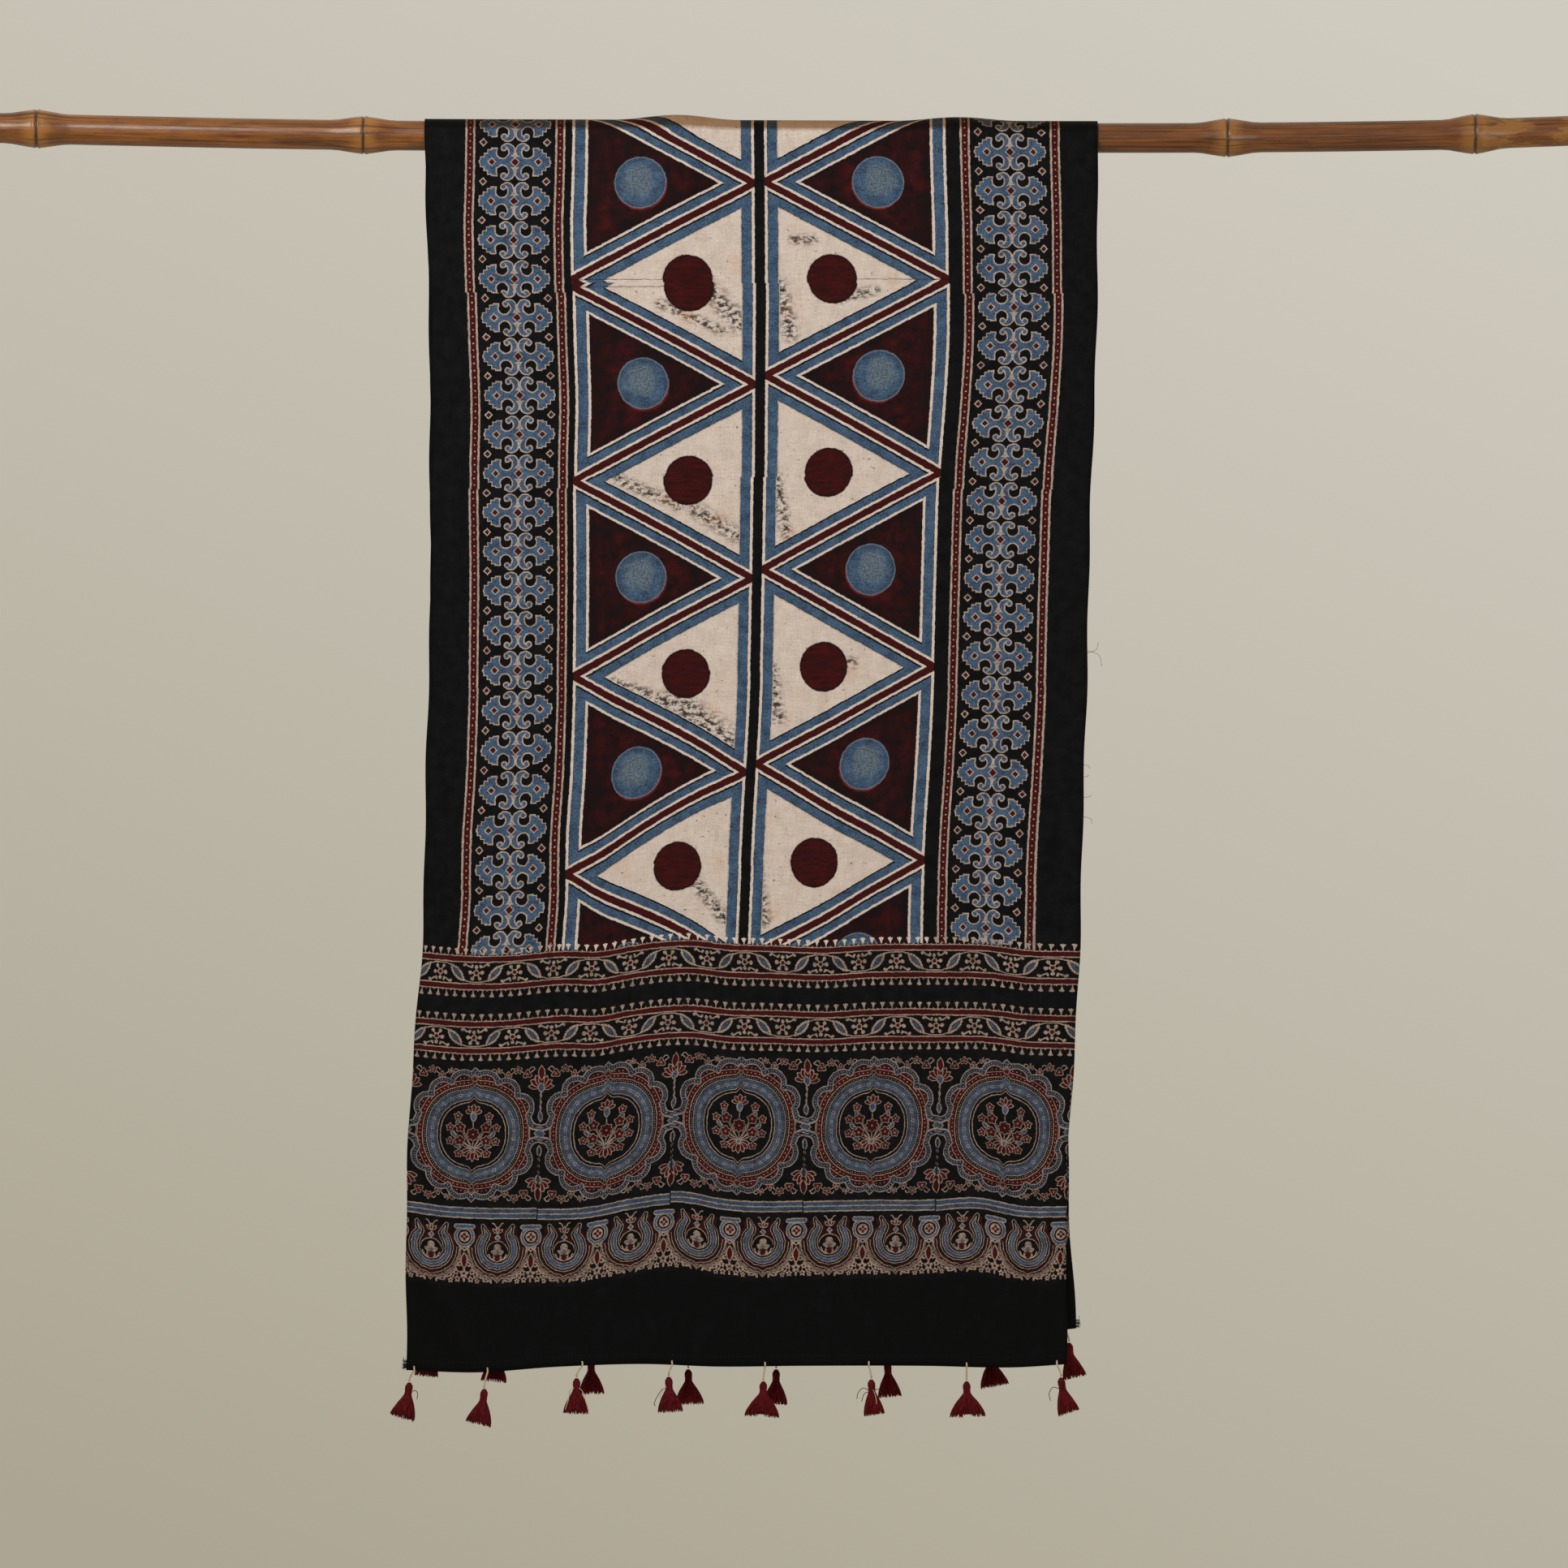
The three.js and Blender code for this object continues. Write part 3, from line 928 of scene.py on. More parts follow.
def draw_field(paint, inks, across, along):
    block = ((along - RED_APEX_AT) * (1 / TRIANGLE_PERIOD) + 0.5).math("FLOOR")
    aside = across + (block * 2.3).math("SINE") * FIELD_JOG
    on_right = across.past(FIELD_CENTRE)
    top_step = block.past(2.5) * (1 - on_right) * TOP_BLOCK_STEP
    up = along + LEFT_COLUMN_DROP - on_right * COLUMN_STEP - top_step
    edge_in = FIELD_HALF - abs(aside - FIELD_CENTRE)
    slipped = inset_of_triangles(edge_in, zigzag_at(up + BLUE_SLIP))
    blue = line(overlap(slipped[1], slipped[2]), BLUE_LINE_HALF, BLUE_LINE_INSET)
    slanted, red, cream = inset_of_triangles(edge_in, zigzag_at(up))
    column = line(edge_in, TRIANGLE_WIDTH / 2, TRIANGLE_WIDTH / 2)
    strip = overlap(line(slanted, STRIP_LINE_HALF), column)
    paint.lay(inks.madder, strip)
    paint.lay(inks.dark, RED_INSET - red)
    streaks = noise(paint.tree, Place.at(across * 0.05, along * 0.02), 1.0, 4.0, 0.65).between(0.4, 0.6)
    paint.lay(inks.black, RED_INSET - red, EDGE_SOFTNESS, streaks * 0.6)
    paint.lay(inks.black, overlap(RED_INSET - red, red - RED_SHADE_INSET), 8, 0.6)
    paint.lay(inks.cream, CREAM_INSET - cream)
    lay_field_wear(paint, inks, across, along, cream)
    paint.lay(inks.blue, blue)
    paint.lay(inks.black, overlap(line(blue, 0.5), WEAR_INSET - cream), 1.2, 0.7)
    paint.lay(inks.cream, line(overlap(red, cream), EDGE_LINE_HALF, EDGE_LINE_INSET))
    paint.lay(inks.cream, line(red, RED_LINE_HALF, RED_INSET))
    level = (up - RED_APEX_AT).math("WRAP", -TRIANGLE_PERIOD / 2, TRIANGLE_PERIOD / 2)
    joint = overlap(TRIANGLE_PERIOD / 2 - JOINT_HALF - abs(level), edge_in - JOINT_END, JOINTS_FROM - along)
    paint.lay(inks.black, joint, EDGE_SOFTNESS, streaks.math("MULTIPLY_ADD", 0.6, 0.4))
    lay_discs(paint, inks, edge_in, level)
    lay_end_buds(paint, inks, across, along)
    lay_crest_shade_and_soil(paint, along)


# Places on the cream triangles where the black got through: a line along the cloth, as wide as given
Smear = namedtuple("Smear", "start end width")
SMEARS = [
    Smear((160, 738), (212, 716), 6),
    Smear((226, 712), (262, 690), 8),
    Smear((160, 568), (214, 548), 7),
    Smear((210, 553), (258, 520), 13),
    Smear((228, 905), (262, 868), 10),
    Smear((196, 884), (246, 862), 5),
    Smear((294, 900), (304, 860), 8),
    Smear((306, 938), (322, 938), 5),
    Smear((292, 742), (302, 694), 7),
    Smear((340, 888), (372, 896), 5),
    Smear((330, 575), (362, 586), 6),
    Smear((292, 580), (300, 540), 7),
    Smear((288, 420), (298, 372), 6),
    Smear((232, 404), (262, 372), 7),
]
STAIN = linear(190, 120, 74)


def lay_field_wear(paint, inks, across, along, cream):
    """Smudges of black and madder that the resist let through on the cream triangles."""
    place = Place.at(across, along)
    lines = union(*(place.stroke(smear.start, smear.end, 0.0) * (1 / smear.width) for smear in SMEARS))
    dense = lines.between(1.25, 0.3)
    speck = noise(paint.tree, place.vector("MULTIPLY", (1.0, 1.6, 0)), 0.19, 4.0, 0.72)
    paint.lay(inks.black, overlap(WEAR_INSET - cream, 0.5 - speck), 0.09, dense * 0.92)
    paint.lay(inks.black, overlap(WEAR_INSET - cream, 0.655 - speck), 0.05, 0.85)
    stain = noise(paint.tree, place, 0.03, 3.0).between(0.58, 0.72)
    paint.lay(STAIN, WEAR_INSET - cream, EDGE_SOFTNESS, stain * 0.22)


CREST_MIDDLE = FRONT_LENGTH + WRAP_LENGTH / 2
CREST_HALF = 17
# Colour multiplied over the crest: soil and painted shade together.
CREST_SHADE_AND_SOIL = linear(178, 150, 122)


def lay_crest_shade_and_soil(paint, along):
    """A brown band where the cloth lies over the pole: partly soil, partly painted shade where the cloth
    turns away over the crest.
    """
    cover = line(along, CREST_HALF, CREST_MIDDLE).between(1.0, -3.0)
    paint.colour = mix(paint.tree, cover, paint.colour, CREST_SHADE_AND_SOIL, "MULTIPLY")


PALE_BLUE = linear(122, 134, 143)
RUSTY = (linear(112, 28, 22), linear(66, 14, 14))


def lay_discs(paint, inks, edge_in, level):
    """The blue disc of each red triangle and the dark one of each cream triangle."""
    place = Place.at(edge_in, level)
    reach, radius = BLUE_DISC
    disc = place.disc(reach, 0, radius)
    cloud = noise(paint.tree, place, 0.12, 5.0, 0.75)
    rust = mix(paint.tree, cloud.between(0.35, 0.65), *RUSTY)
    paint.lay(rust, place.disc(reach + 0.7, -1.6, radius))
    paint.lay(inks.blue, disc)
    paint.lay(inks.dark_blue, line(disc, 1.6, -2.2), 2.6, 0.6)
    worn = overlap(place.disc(reach - 2, 2, 12) + cloud * 22 - 11, disc + 4)
    speck = noise(paint.tree, place, 0.7, 2.0, 0.6)
    paint.lay(PALE_BLUE, worn, 4, 0.45)
    paint.lay(inks.black, overlap(worn, 0.52 - speck), 0.12, 0.55)
    paint.lay(PALE_BLUE, line(disc, 0.35, -0.5), 0.8, 0.5)
    folded = Place.at(edge_in, abs(level))
    reach, radius = DARK_DISC
    dark_disc = folded.disc(reach, TRIANGLE_PERIOD / 2, radius)
    brushed = noise(paint.tree, Place.at(edge_in * 0.06, level * 0.3), 1.0, 3.0, 0.6).between(0.42, 0.62)
    paint.lay(inks.madder, dark_disc)
    paint.lay(inks.black, dark_disc, EDGE_SOFTNESS, brushed * 0.55)
    paint.lay(inks.black, line(dark_disc, 0.6, -0.5), 1.6, 0.8)


# The narrow bands: a scroll between dotted lines, with rows of buds pointing outwards
BAND_MIDDLES = (283.5, 337.3)
BUD_PITCH = 7.9
BUD_FOOT = 13.8


def bud_shapes(across, out):
    """A row of bell-shaped buds on a lacy line, out from the line's middle."""
    aside = across.row(3, BUD_PITCH)
    place = Place.at(aside, out)
    bell = overlap((aside - out * 0.4 + 0.4) * 0.92, out - 5.6, 1.8 - out)
    crown = union(place.disc(0, 5.5, 0.8), place.disc(1.35, 5.3, 0.65))
    bud = union(bell, crown, place.stroke((0, 0), (0, 2.2), 0.34))
    lace = union(line(out, 0.4), place.disc(BUD_PITCH / 2, 0.6, 0.65))
    return union(bud, lace)


def lay_end_buds(paint, inks, across, along):
    """The last row of buds, printed over the foot of the field at both ends."""
    reach = along.math("MINIMUM", CLOTH_LENGTH - along)
    out = reach - (BAND_MIDDLES[1] + BUD_FOOT)
    paint.lay(inks.black, out - 1.2)
    paint.lay(inks.cream, bud_shapes(across, out))


SCROLL_PITCH = 32.6
SCROLL_START = -29.2
SCROLL_VINE = [(0, -7.6), (5.5, -7.5), (10, -6.2)]
SCROLL_ARM = [(3.6, 4.8), (6.2, 5.4), (9.2, 7.2)]
SCROLL_ARM_ENDS = [((4.0, 4.9), (3.4, 6.2), 0.9), ((9.4, 7.2), (10.4, 6.6), 1.1)]
SCROLL_PETALS = [(0, 4.9, 1.5), (5.1, 0.4, 1.65), (3.2, -4.7, 1.5)]
SCROLL_NECKS = [(4.9, 0.3), (3.1, -4.4), (0, 4.7)]
SCROLL_LEAF_TURN = 47
BAND_STRIPE = (2.0, 11.4)
BAND_LINE = (0.48, 9.0)


def draw_bands(paint, inks, across, along):
    gap = BAND_MIDDLES[1] - BAND_MIDDLES[0]
    split = (BAND_MIDDLES[0] + BAND_MIDDLES[1]) / 2
    up = along - BAND_MIDDLES[0] - along.past(split) * gap
    out = abs(up)
    paint.lay(inks.madder, line(out, *BAND_STRIPE))
    paint.lay(inks.cream, line(out, *BAND_LINE))
    paint.lay(inks.cream, bud_shapes(across, out - BUD_FOOT))
    cell = (across - SCROLL_START) * (1 / SCROLL_PITCH)
    number = cell.math("FLOOR")
    flip = number.math("FLOORED_MODULO", 2.0).math("MULTIPLY_ADD", -2.0, 1.0)
    aside = abs((cell - number - 0.5) * SCROLL_PITCH)
    lay_scroll(paint, inks, Place.at(aside, up * flip))


def lay_scroll(paint, inks, place):
    """One flower of the scroll with its arms, and the leaf between it and the next."""
    vine = place.path(SCROLL_VINE, 0.45)
    arm = place.path(SCROLL_ARM, 0.6)
    paint.lay(inks.cream, union(vine, arm, *(place.stroke(*end) for end in SCROLL_ARM_ENDS)))
    petals = union(*(place.disc(*petal) for petal in SCROLL_PETALS))
    necks = union(*(place.reach((0, 0), end) for end in SCROLL_NECKS)) - 0.5
    eye = place.disc(0, 0, 2.5)
    paint.lay(inks.cream, union(petals, necks, eye))
    paint.lay(inks.madder, eye + 0.85)
    slant = place.turned(SCROLL_PITCH / 2, 0, SCROLL_LEAF_TURN)
    along, _ = slant.parts()
    leaf = slant.leaf(9.9, 3.9) + along.row(0, 2.2) * 0.5
    paint.nest(leaf, (0, inks.cream), (1.7, inks.black), (2.1, inks.dark_blue))


# The side borders: a chain of stepped motifs between dotted guard stripes
BORDER_MIDDLES = (76.4, 487.3)
BORDER_PITCH = 32.3
BORDER_STARTS = (0.6, 10.2)
GUARD_MIDDLE = 37.45
GUARD_DOT_PITCH = 5.6
GUARD_DOT = 0.62
GUARD_HALF = 2.6
GUARD_LINE = (0.8, 3.3)
BLOCK_START = 405
BLOCK_LENGTH = 162.8
BLOCK_JOG = 1.5


def draw_side(paint, inks, across, along):
    block = ((along - BLOCK_START) * (1 / BLOCK_LENGTH)).math("FLOOR")
    jog = (block * 2.7).math("SINE") * (BLOCK_JOG / 2)
    span = BORDER_MIDDLES[1] - BORDER_MIDDLES[0]
    on_right = across.past(CLOTH_WIDTH / 2)
    aside = across + jog - BORDER_MIDDLES[0] - on_right * span
    out = abs(aside)
    guard = out - GUARD_MIDDLE
    paint.lay(inks.madder, line(guard, GUARD_HALF))
    paint.lay(inks.cream, line(abs(guard), *GUARD_LINE))
    dots = Place.at(guard, along.row(0, GUARD_DOT_PITCH)).disc(0, 0, GUARD_DOT)
    paint.lay(inks.cream, dots)
    up = (along - on_right * (BORDER_STARTS[1] - BORDER_STARTS[0])).row(BORDER_STARTS[0], BORDER_PITCH)
    lay_border_motif(paint, inks, out, up)
    lay_end_buds(paint, inks, across, along)
    lay_crest_shade_and_soil(paint, along)


WING_STEP = 3.1
WING_SLANT = 33.4
WING_TOP = 11.7
WING_SPAN = (14.9, 29.8)
BORDER_EYE = (10.4, 7.9, 4.9)
BORDER_HOOK = (6.4, 9.2, 6.2)
BORDER_BULB = (9.3, 11.6, 2.5)
HOOK_END = 9.6
DIAMOND_SOFTNESS = 0.5


def lay_border_motif(paint, inks, out, up):
    """A quarter of the stepped and scrolled border motif, mirrored both ways by its coordinates."""
    place = Place.at(out, up)
    stairs = (out - up).math("PINGPONG", WING_STEP) * math.sqrt(0.5)
    slant = (out + up - WING_SLANT) * math.sqrt(0.5) + stairs
    wing = overlap(slant, up - WING_TOP, out - WING_SPAN[1], WING_SPAN[0] - out)
    bridge = overlap(up - 5.2, out - 20)
    eye = place.disc(*BORDER_EYE)
    gap = overlap(line(out, 1.5, 13.3), 7.0 - up)
    hook = overlap(place.disc(*BORDER_HOOK), out - HOOK_END)
    bulb = place.disc(*BORDER_BULB)
    body = without(without(union(wing, bridge, hook), eye), gap)
    motif = union(body, bulb)
    paint.lay(inks.blue, motif)
    paint.lay(inks.cream, line(motif, 0.52, -0.3))
    paint.lay(inks.cream, overlap(out - 0.5, up - 11.5))
    heart = out + up - 4.3
    paint.nest(heart, (0, inks.cream), (1.0, inks.madder), softness=DIAMOND_SOFTNESS)
    small = (abs(out - 19.4) + up) - 3.8
    loose = (abs(out - 26.4) + (BORDER_PITCH / 2 - up)) - 3.5
    rims = ((0, inks.cream), (1.25, inks.black), (1.6, inks.madder))
    paint.nest(union(small, loose), *rims, softness=DIAMOND_SOFTNESS)


# The medallion band: lobed medallions, each a set of nested outlines round a bouquet
MEDALLION_MIDDLE = 200
MEDALLION_START = 54
MEDALLION_PITCH = 112.4
MEDALLION_CORE = 27.2
MEDALLION_TIP = 31.2
MEDALLION_TIP_SLOPE = 1.25
MEDALLION_FILLET = 3.5
MEDALLION_ROUNDNESS = 2.25

# The lobed line round a medallion: equal round lobes on a circle, a pointed top and a bridge to the next
LOBE_COUNT = 3
LOBE_STEP = math.radians(24)
LOBE_REACH = 44
LOBE_RADIUS = 13
LOBE_INNER = 51
LOBE_TOP = 58.5
BRIDGE_HALF = 7.4
BRIDGE_FROM = 42
BRIDGE_FILLET = 8


def lobe_distance(place, aside, up):
    """The distance outside a medallion's lobed line."""
    turns = [LOBE_STEP * (number + 0.5) for number in range(LOBE_COUNT)]
    middles = [(LOBE_REACH * math.sin(turn), LOBE_REACH * math.cos(turn)) for turn in turns]
    lobes = [place.disc(*middle, LOBE_RADIUS) for middle in middles]
    tip = (aside + up - LOBE_TOP) * math.sqrt(0.5)
    rounded = union(place.disc(0, 0, LOBE_INNER), tip, *lobes)
    return rounded.math("SMOOTH_MIN", overlap(up - BRIDGE_HALF, BRIDGE_FROM - aside), BRIDGE_FILLET)


def core_distance(aside, up):
    """Distance out from a medallion's pointed oval core."""
    power = MEDALLION_ROUNDNESS
    share = 1 / MEDALLION_CORE
    powers = (aside * share).math("POWER", power) + (up * share).math("POWER", power)
    oval = powers.math("POWER", 1 / power) * MEDALLION_CORE - MEDALLION_CORE
    tip = aside * MEDALLION_TIP_SLOPE + up - MEDALLION_TIP
    return oval.math("SMOOTH_MIN", tip, MEDALLION_FILLET)


def beads(out, turn, count, radius, mean_reach):
    """Beads along an outline: out is the distance from the beads' own line."""
    aside = (turn * count).row(0.5, 1.0) * (mean_reach * math.pi / 2 / count)
    return Place.at(aside, out).measure("LENGTH", (0, 0, 0)) - radius


def round_point(reach, degrees, x=0, y=0):
    """A point at a reach and angle from another."""
    turn = math.radians(degrees)
    return x + reach * math.cos(turn), y + reach * math.sin(turn)


def fan(place, x, y, angles, half_length, half_width):
    """Petals spread from one point, each a pointed leaf."""
    petals = []
    for angle in angles:
        middle = round_point(half_length, angle, x, y)
        petals.append(place.turned(*middle, angle).leaf(half_length, half_width))
    return petals


def lay_petals(paint, inks, petals, fill, edge):
    """Petals one over another, edged in cream."""
    for petal in reversed(petals):
        paint.nest(petal, (0, inks.cream), (edge, fill))


BLOCK_STEP = 0.9
JOINT_WIDTH = 0.5
JOINT_REACH = 70
STRIPES_MIDDLE = 133
STRIPES_HALF = 4
STRIPE_HALF = 0.45
STRIPE_EDGE = (0.5, 4.1)


def draw_medallions(paint, inks, across, along):
    block = (across - MEDALLION_START) * (1 / MEDALLION_PITCH)
    step = ((block + 0.5).math("FLOOR") * 2.1).math("SINE") * BLOCK_STEP
    lay_stripes(paint, inks, along - STRIPES_MIDDLE + step)
    aside = across.row(MEDALLION_START, MEDALLION_PITCH)
    rise = along - MEDALLION_MIDDLE + step
    up = abs(rise)
    turn = aside.math("ARCTAN2", up) * (2 / math.pi)
    place = Place.at(aside, up)
    lobes = lobe_distance(place, aside, up)
    lay_between_medallions(paint, inks, aside, rise, lobes)
    core = core_distance(aside, up)
    lay_medallion_rims(paint, inks, lobes, core, aside, up, turn)
    lay_bouquet(paint, inks, aside, rise, core)
    joint = overlap(MEDALLION_PITCH / 2 - JOINT_WIDTH - aside, along - MEDALLION_END + JOINT_REACH)
    paint.lay(inks.black, joint)


def lay_medallion_rims(paint, inks, lobes, core, aside, up, turn):
    """The lobed line, the dotted madder ground inside it and the oval rims of one medallion."""
    paint.nest(lobes, (0, inks.cream), (0.6, inks.dark_blue))
    paint.lay(inks.black, line(lobes, 0.8, -2.4))
    paint.lay(inks.cream, beads(lobes + 2.4, turn, 42, 0.42, 54))
    paint.nest(lobes, (4.2, inks.cream), (4.8, inks.black), (5.3, inks.dark))
    paint.lay(inks.cream, overlap(beads(core - 21.8, turn, 22, 0.46, 48), lobes + 5.8))
    within = lobes + 5.0
    for reach, ink in ((19.9, inks.cream), (19.4, inks.madder)):
        paint.lay(ink, overlap(core - reach, within))
    paint.lay(inks.cream, overlap(beads(core - 17.5, turn, 20, 0.46, 44), lobes + 5.6))
    gap = MEDALLION_PITCH / 2 - aside
    paint.nest(overlap(gap - 8.6, lobes + 4.8), (0, inks.cream), (0.5, inks.black))
    diamond = gap * 0.85 + up * 0.7 - 4.4 + up.row(0, 2.6) * 0.3
    paint.nest(overlap(diamond, lobes + 4.6), (0, inks.cream), (0.6, inks.dark_blue))
    paint.nest(core, (-15.5, inks.cream), (-14.9, inks.black))
    paint.lay(inks.cream, beads(core - 13.5, turn, 32, 0.36, 41))
    paint.nest(core, (-12.2, inks.cream), (-11.65, inks.black), (-11.2, inks.dark_blue))
    paint.lay(inks.cream, line(abs(core - 7.3), 0.22, 0.8), EDGE_SOFTNESS, 0.5)
    chain = beads(core - 7.3, turn, 7, 1.5, 35)
    paint.lay(inks.cream, chain, EDGE_SOFTNESS, 0.75)
    paint.lay(inks.dark_blue, chain + 0.65)
    paint.nest(core, (-3.6, inks.black), (-3.15, inks.cream), (-2.55, inks.black))
    paint.nest(core, (-0.65, inks.cream), (0, inks.black))


# The bouquet: a reach from its middle, a flower's size, and the angles at which flowers stand
FlowerRing = namedtuple("FlowerRing", "reach size angles")
BOUQUET_RINGS = [
    FlowerRing(12.4, 4.2, (-26, 28)),
    FlowerRing(20.4, 3.2, (-54, -18, 16, 50)),
]
BOUQUET_FOOT = (0, -13)
LEAF_REACH = 16.6
LEAF_ANGLES = (-40, -2, 36)
LEAF_TURN = 50
LEAF_SIZE = (3.6, 1.6)
STEM_HALF = 0.32
MIDDLE_FLOWER = 5.4


def lay_blossom(paint, inks, flower, size):
    """A red blossom edged in cream on black."""
    paint.nest(flower, (-0.6, inks.black), (0, inks.cream), (0.55, inks.madder), (size - 0.55, inks.cream))


def lay_bouquet(paint, inks, aside, rise, core):
    """The bouquet on a medallion's black middle."""
    place = Place.at(aside, rise)
    flowers = []
    for ring in BOUQUET_RINGS:
        flowers += [(*round_point(ring.reach, angle), ring.size) for angle in ring.angles]
    stems = [place.path([BOUQUET_FOOT, (x * 0.7, y * 0.6 - 4), (x, y)], STEM_HALF) for x, y, _ in flowers]
    stems.append(place.stroke(BOUQUET_FOOT, (0, 17), STEM_HALF))
    paint.lay(inks.cream, overlap(union(*stems), core + 1.5))
    seats = [place.turned(*round_point(LEAF_REACH, angle), angle + LEAF_TURN) for angle in LEAF_ANGLES]
    leaves = [seat.leaf(*LEAF_SIZE) for seat in seats]
    paint.nest(union(*leaves), (0, inks.cream), (0.5, inks.dark_blue))
    for x, y, size in flowers:
        lay_blossom(paint, inks, place.flower(x, y, size, 5, 0.6), size)
    lay_blossom(paint, inks, place.flower(0, 0, MIDDLE_FLOWER, 8, 0.6), MIDDLE_FLOWER)
    paint.lay(inks.black, line(place.disc(0, 0, 2.0), 0.4))
    calyx = place.turned(0, 15.5, 90).leaf(4.6, 2.8)
    paint.nest(calyx, (-0.6, inks.black), (0, inks.cream), (0.8, inks.blue))
    lay_petals(paint, inks, fan(place, 0, 19, (90, 48, 8), 3.7, 1.9), inks.madder, 0.55)
    lay_petals(paint, inks, fan(place, 0, -13.6, (-90, -60, -32, -6), 5.0, 2.2), inks.madder, 0.55)
    paint.nest(place.disc(0, -13.4, 2.2), (0, inks.cream), (0.7, inks.blue))


# The vine over and under each hollow: a wave with a blossom at each turn
VINE_HEIGHT = 52.4
VINE_WAVE = 2.0
VINE_PITCH = 8
VINE_FROM = 5
VINE_TO = 45
VINE_BLOSSOMS = 4
CURL_RADIUS = 1.9


def lay_between_medallions(paint, inks, aside, rise, lobes):
    """A lotus on its stem in each hollow of the lobed line, with a vine along the band's edges."""
    up = abs(rise)
    place = Place.at(MEDALLION_PITCH / 2 - aside, up)
    gap, _ = place.parts()
    wave = (gap * (math.pi / VINE_PITCH)).math("SINE") * VINE_WAVE
    turning = Place.at(gap.row(VINE_PITCH, 2 * VINE_PITCH), up - VINE_HEIGHT - VINE_WAVE)
    curl = turning.disc(0, 0, CURL_RADIUS)
    curls = overlap(line(curl, 0.36), VINE_HEIGHT + VINE_WAVE - up)
    vine = union(line(up - VINE_HEIGHT - wave, 0.42), curls)
    paint.lay(inks.cream, overlap(vine, VINE_FROM - gap, gap - VINE_TO))
    for number in range(VINE_BLOSSOMS):
        reach = VINE_PITCH * (number + 1.5)
        height = VINE_HEIGHT + VINE_WAVE * math.sin(math.pi * reach / VINE_PITCH)
        size = 3.4 - 0.4 * number
        lay_blossom(paint, inks, place.flower(reach, height, size, 3 + 2 * (number % 2), 0.8), size)
    hollow = 1.0 - lobes
    bud = place.turned(0, 14.6, 90).leaf(5.0, 2.2)
    stem = place.stroke((0, 12), (0, 37), 0.9) + up.row(0, 5.4) * 0.28
    paint.lay(inks.cream, overlap(union(stem, bud), hollow))
    paint.lay(inks.dark_blue, overlap(union(bud + 0.65, stem + 0.55), hollow))
    lay_petals(paint, inks, fan(place, 0, 39.2, (90, 62, 33, 4), 5.5, 2.6), inks.madder, 0.6)
    lay_petals(paint, inks, fan(place, 0, 44.5, (90,), 6.4, 3.0), inks.madder, 0.6)
    calyx = place.turned(0, 38.6, 90).leaf(4.0, 2.9)
    paint.nest(calyx, (0, inks.cream), (0.7, inks.dark_blue))


def lay_stripes(paint, inks, up):
    """The white and blue stripes under the medallions."""
    out = abs(up)
    paint.lay(inks.dark_blue, out - STRIPES_HALF)
    paint.lay(inks.cream, union(out - STRIPE_HALF, line(out, *STRIPE_EDGE)))


# The paisley band: lyres of nested outlines with rosettes between them
PAISLEY_START = 21
PAISLEY_PITCH = 56.2
LYRE_BOWL_MIDDLE = 100
LYRE_BOWL = 14.6
LYRE_TURNS = np.radians(range(0, 121, 24)).tolist()
LYRE_NECK = (9.4, 112.5)
LYRE_TIP = (12.6, 119.5)
LYRE = [
    *((LYRE_BOWL * math.sin(turn), LYRE_BOWL_MIDDLE - LYRE_BOWL * math.cos(turn)) for turn in LYRE_TURNS),
    LYRE_NECK,
    LYRE_TIP,
]
LYRE_TAPER_FROM = 108
LYRE_TAPER = 0.24
LYRE_MIDDLE = 97.5
LYRE_SHOULDER = 101
LYRE_FOOT = 1.8
PAISLEY_RISE = 3.4
SCALLOPED_RIMS = [(11.6, "cream"), (11.05, "black"), (10.5, "cream"), (9.95, "madder"), (8.8, "cream")]
LYRE_RIMS = [(8.3, "black"), (7.5, "cream"), (6.95, "black"), (6.3, "dark")]
ROSETTE_HEIGHT = 110
Blossom = namedtuple("Blossom", "x y radius depth eye")
FOOT_BLOSSOMS = [
    Blossom(0, 79.4, 3.2, 0.9, 1.2),
    Blossom(5.6, 74.8, 2.2, 0.6, 0.9),
    Blossom(6.8, 80.6, 2.1, 0.5, 0.9),
    Blossom(11.4, 73.6, 1.8, 0.5, 0.7),
]
FOOT_DROPS = [((0, 75.4), (0, 73.2), 0.8), ((8.6, 77.4), (9.8, 75.8), 0.7)]


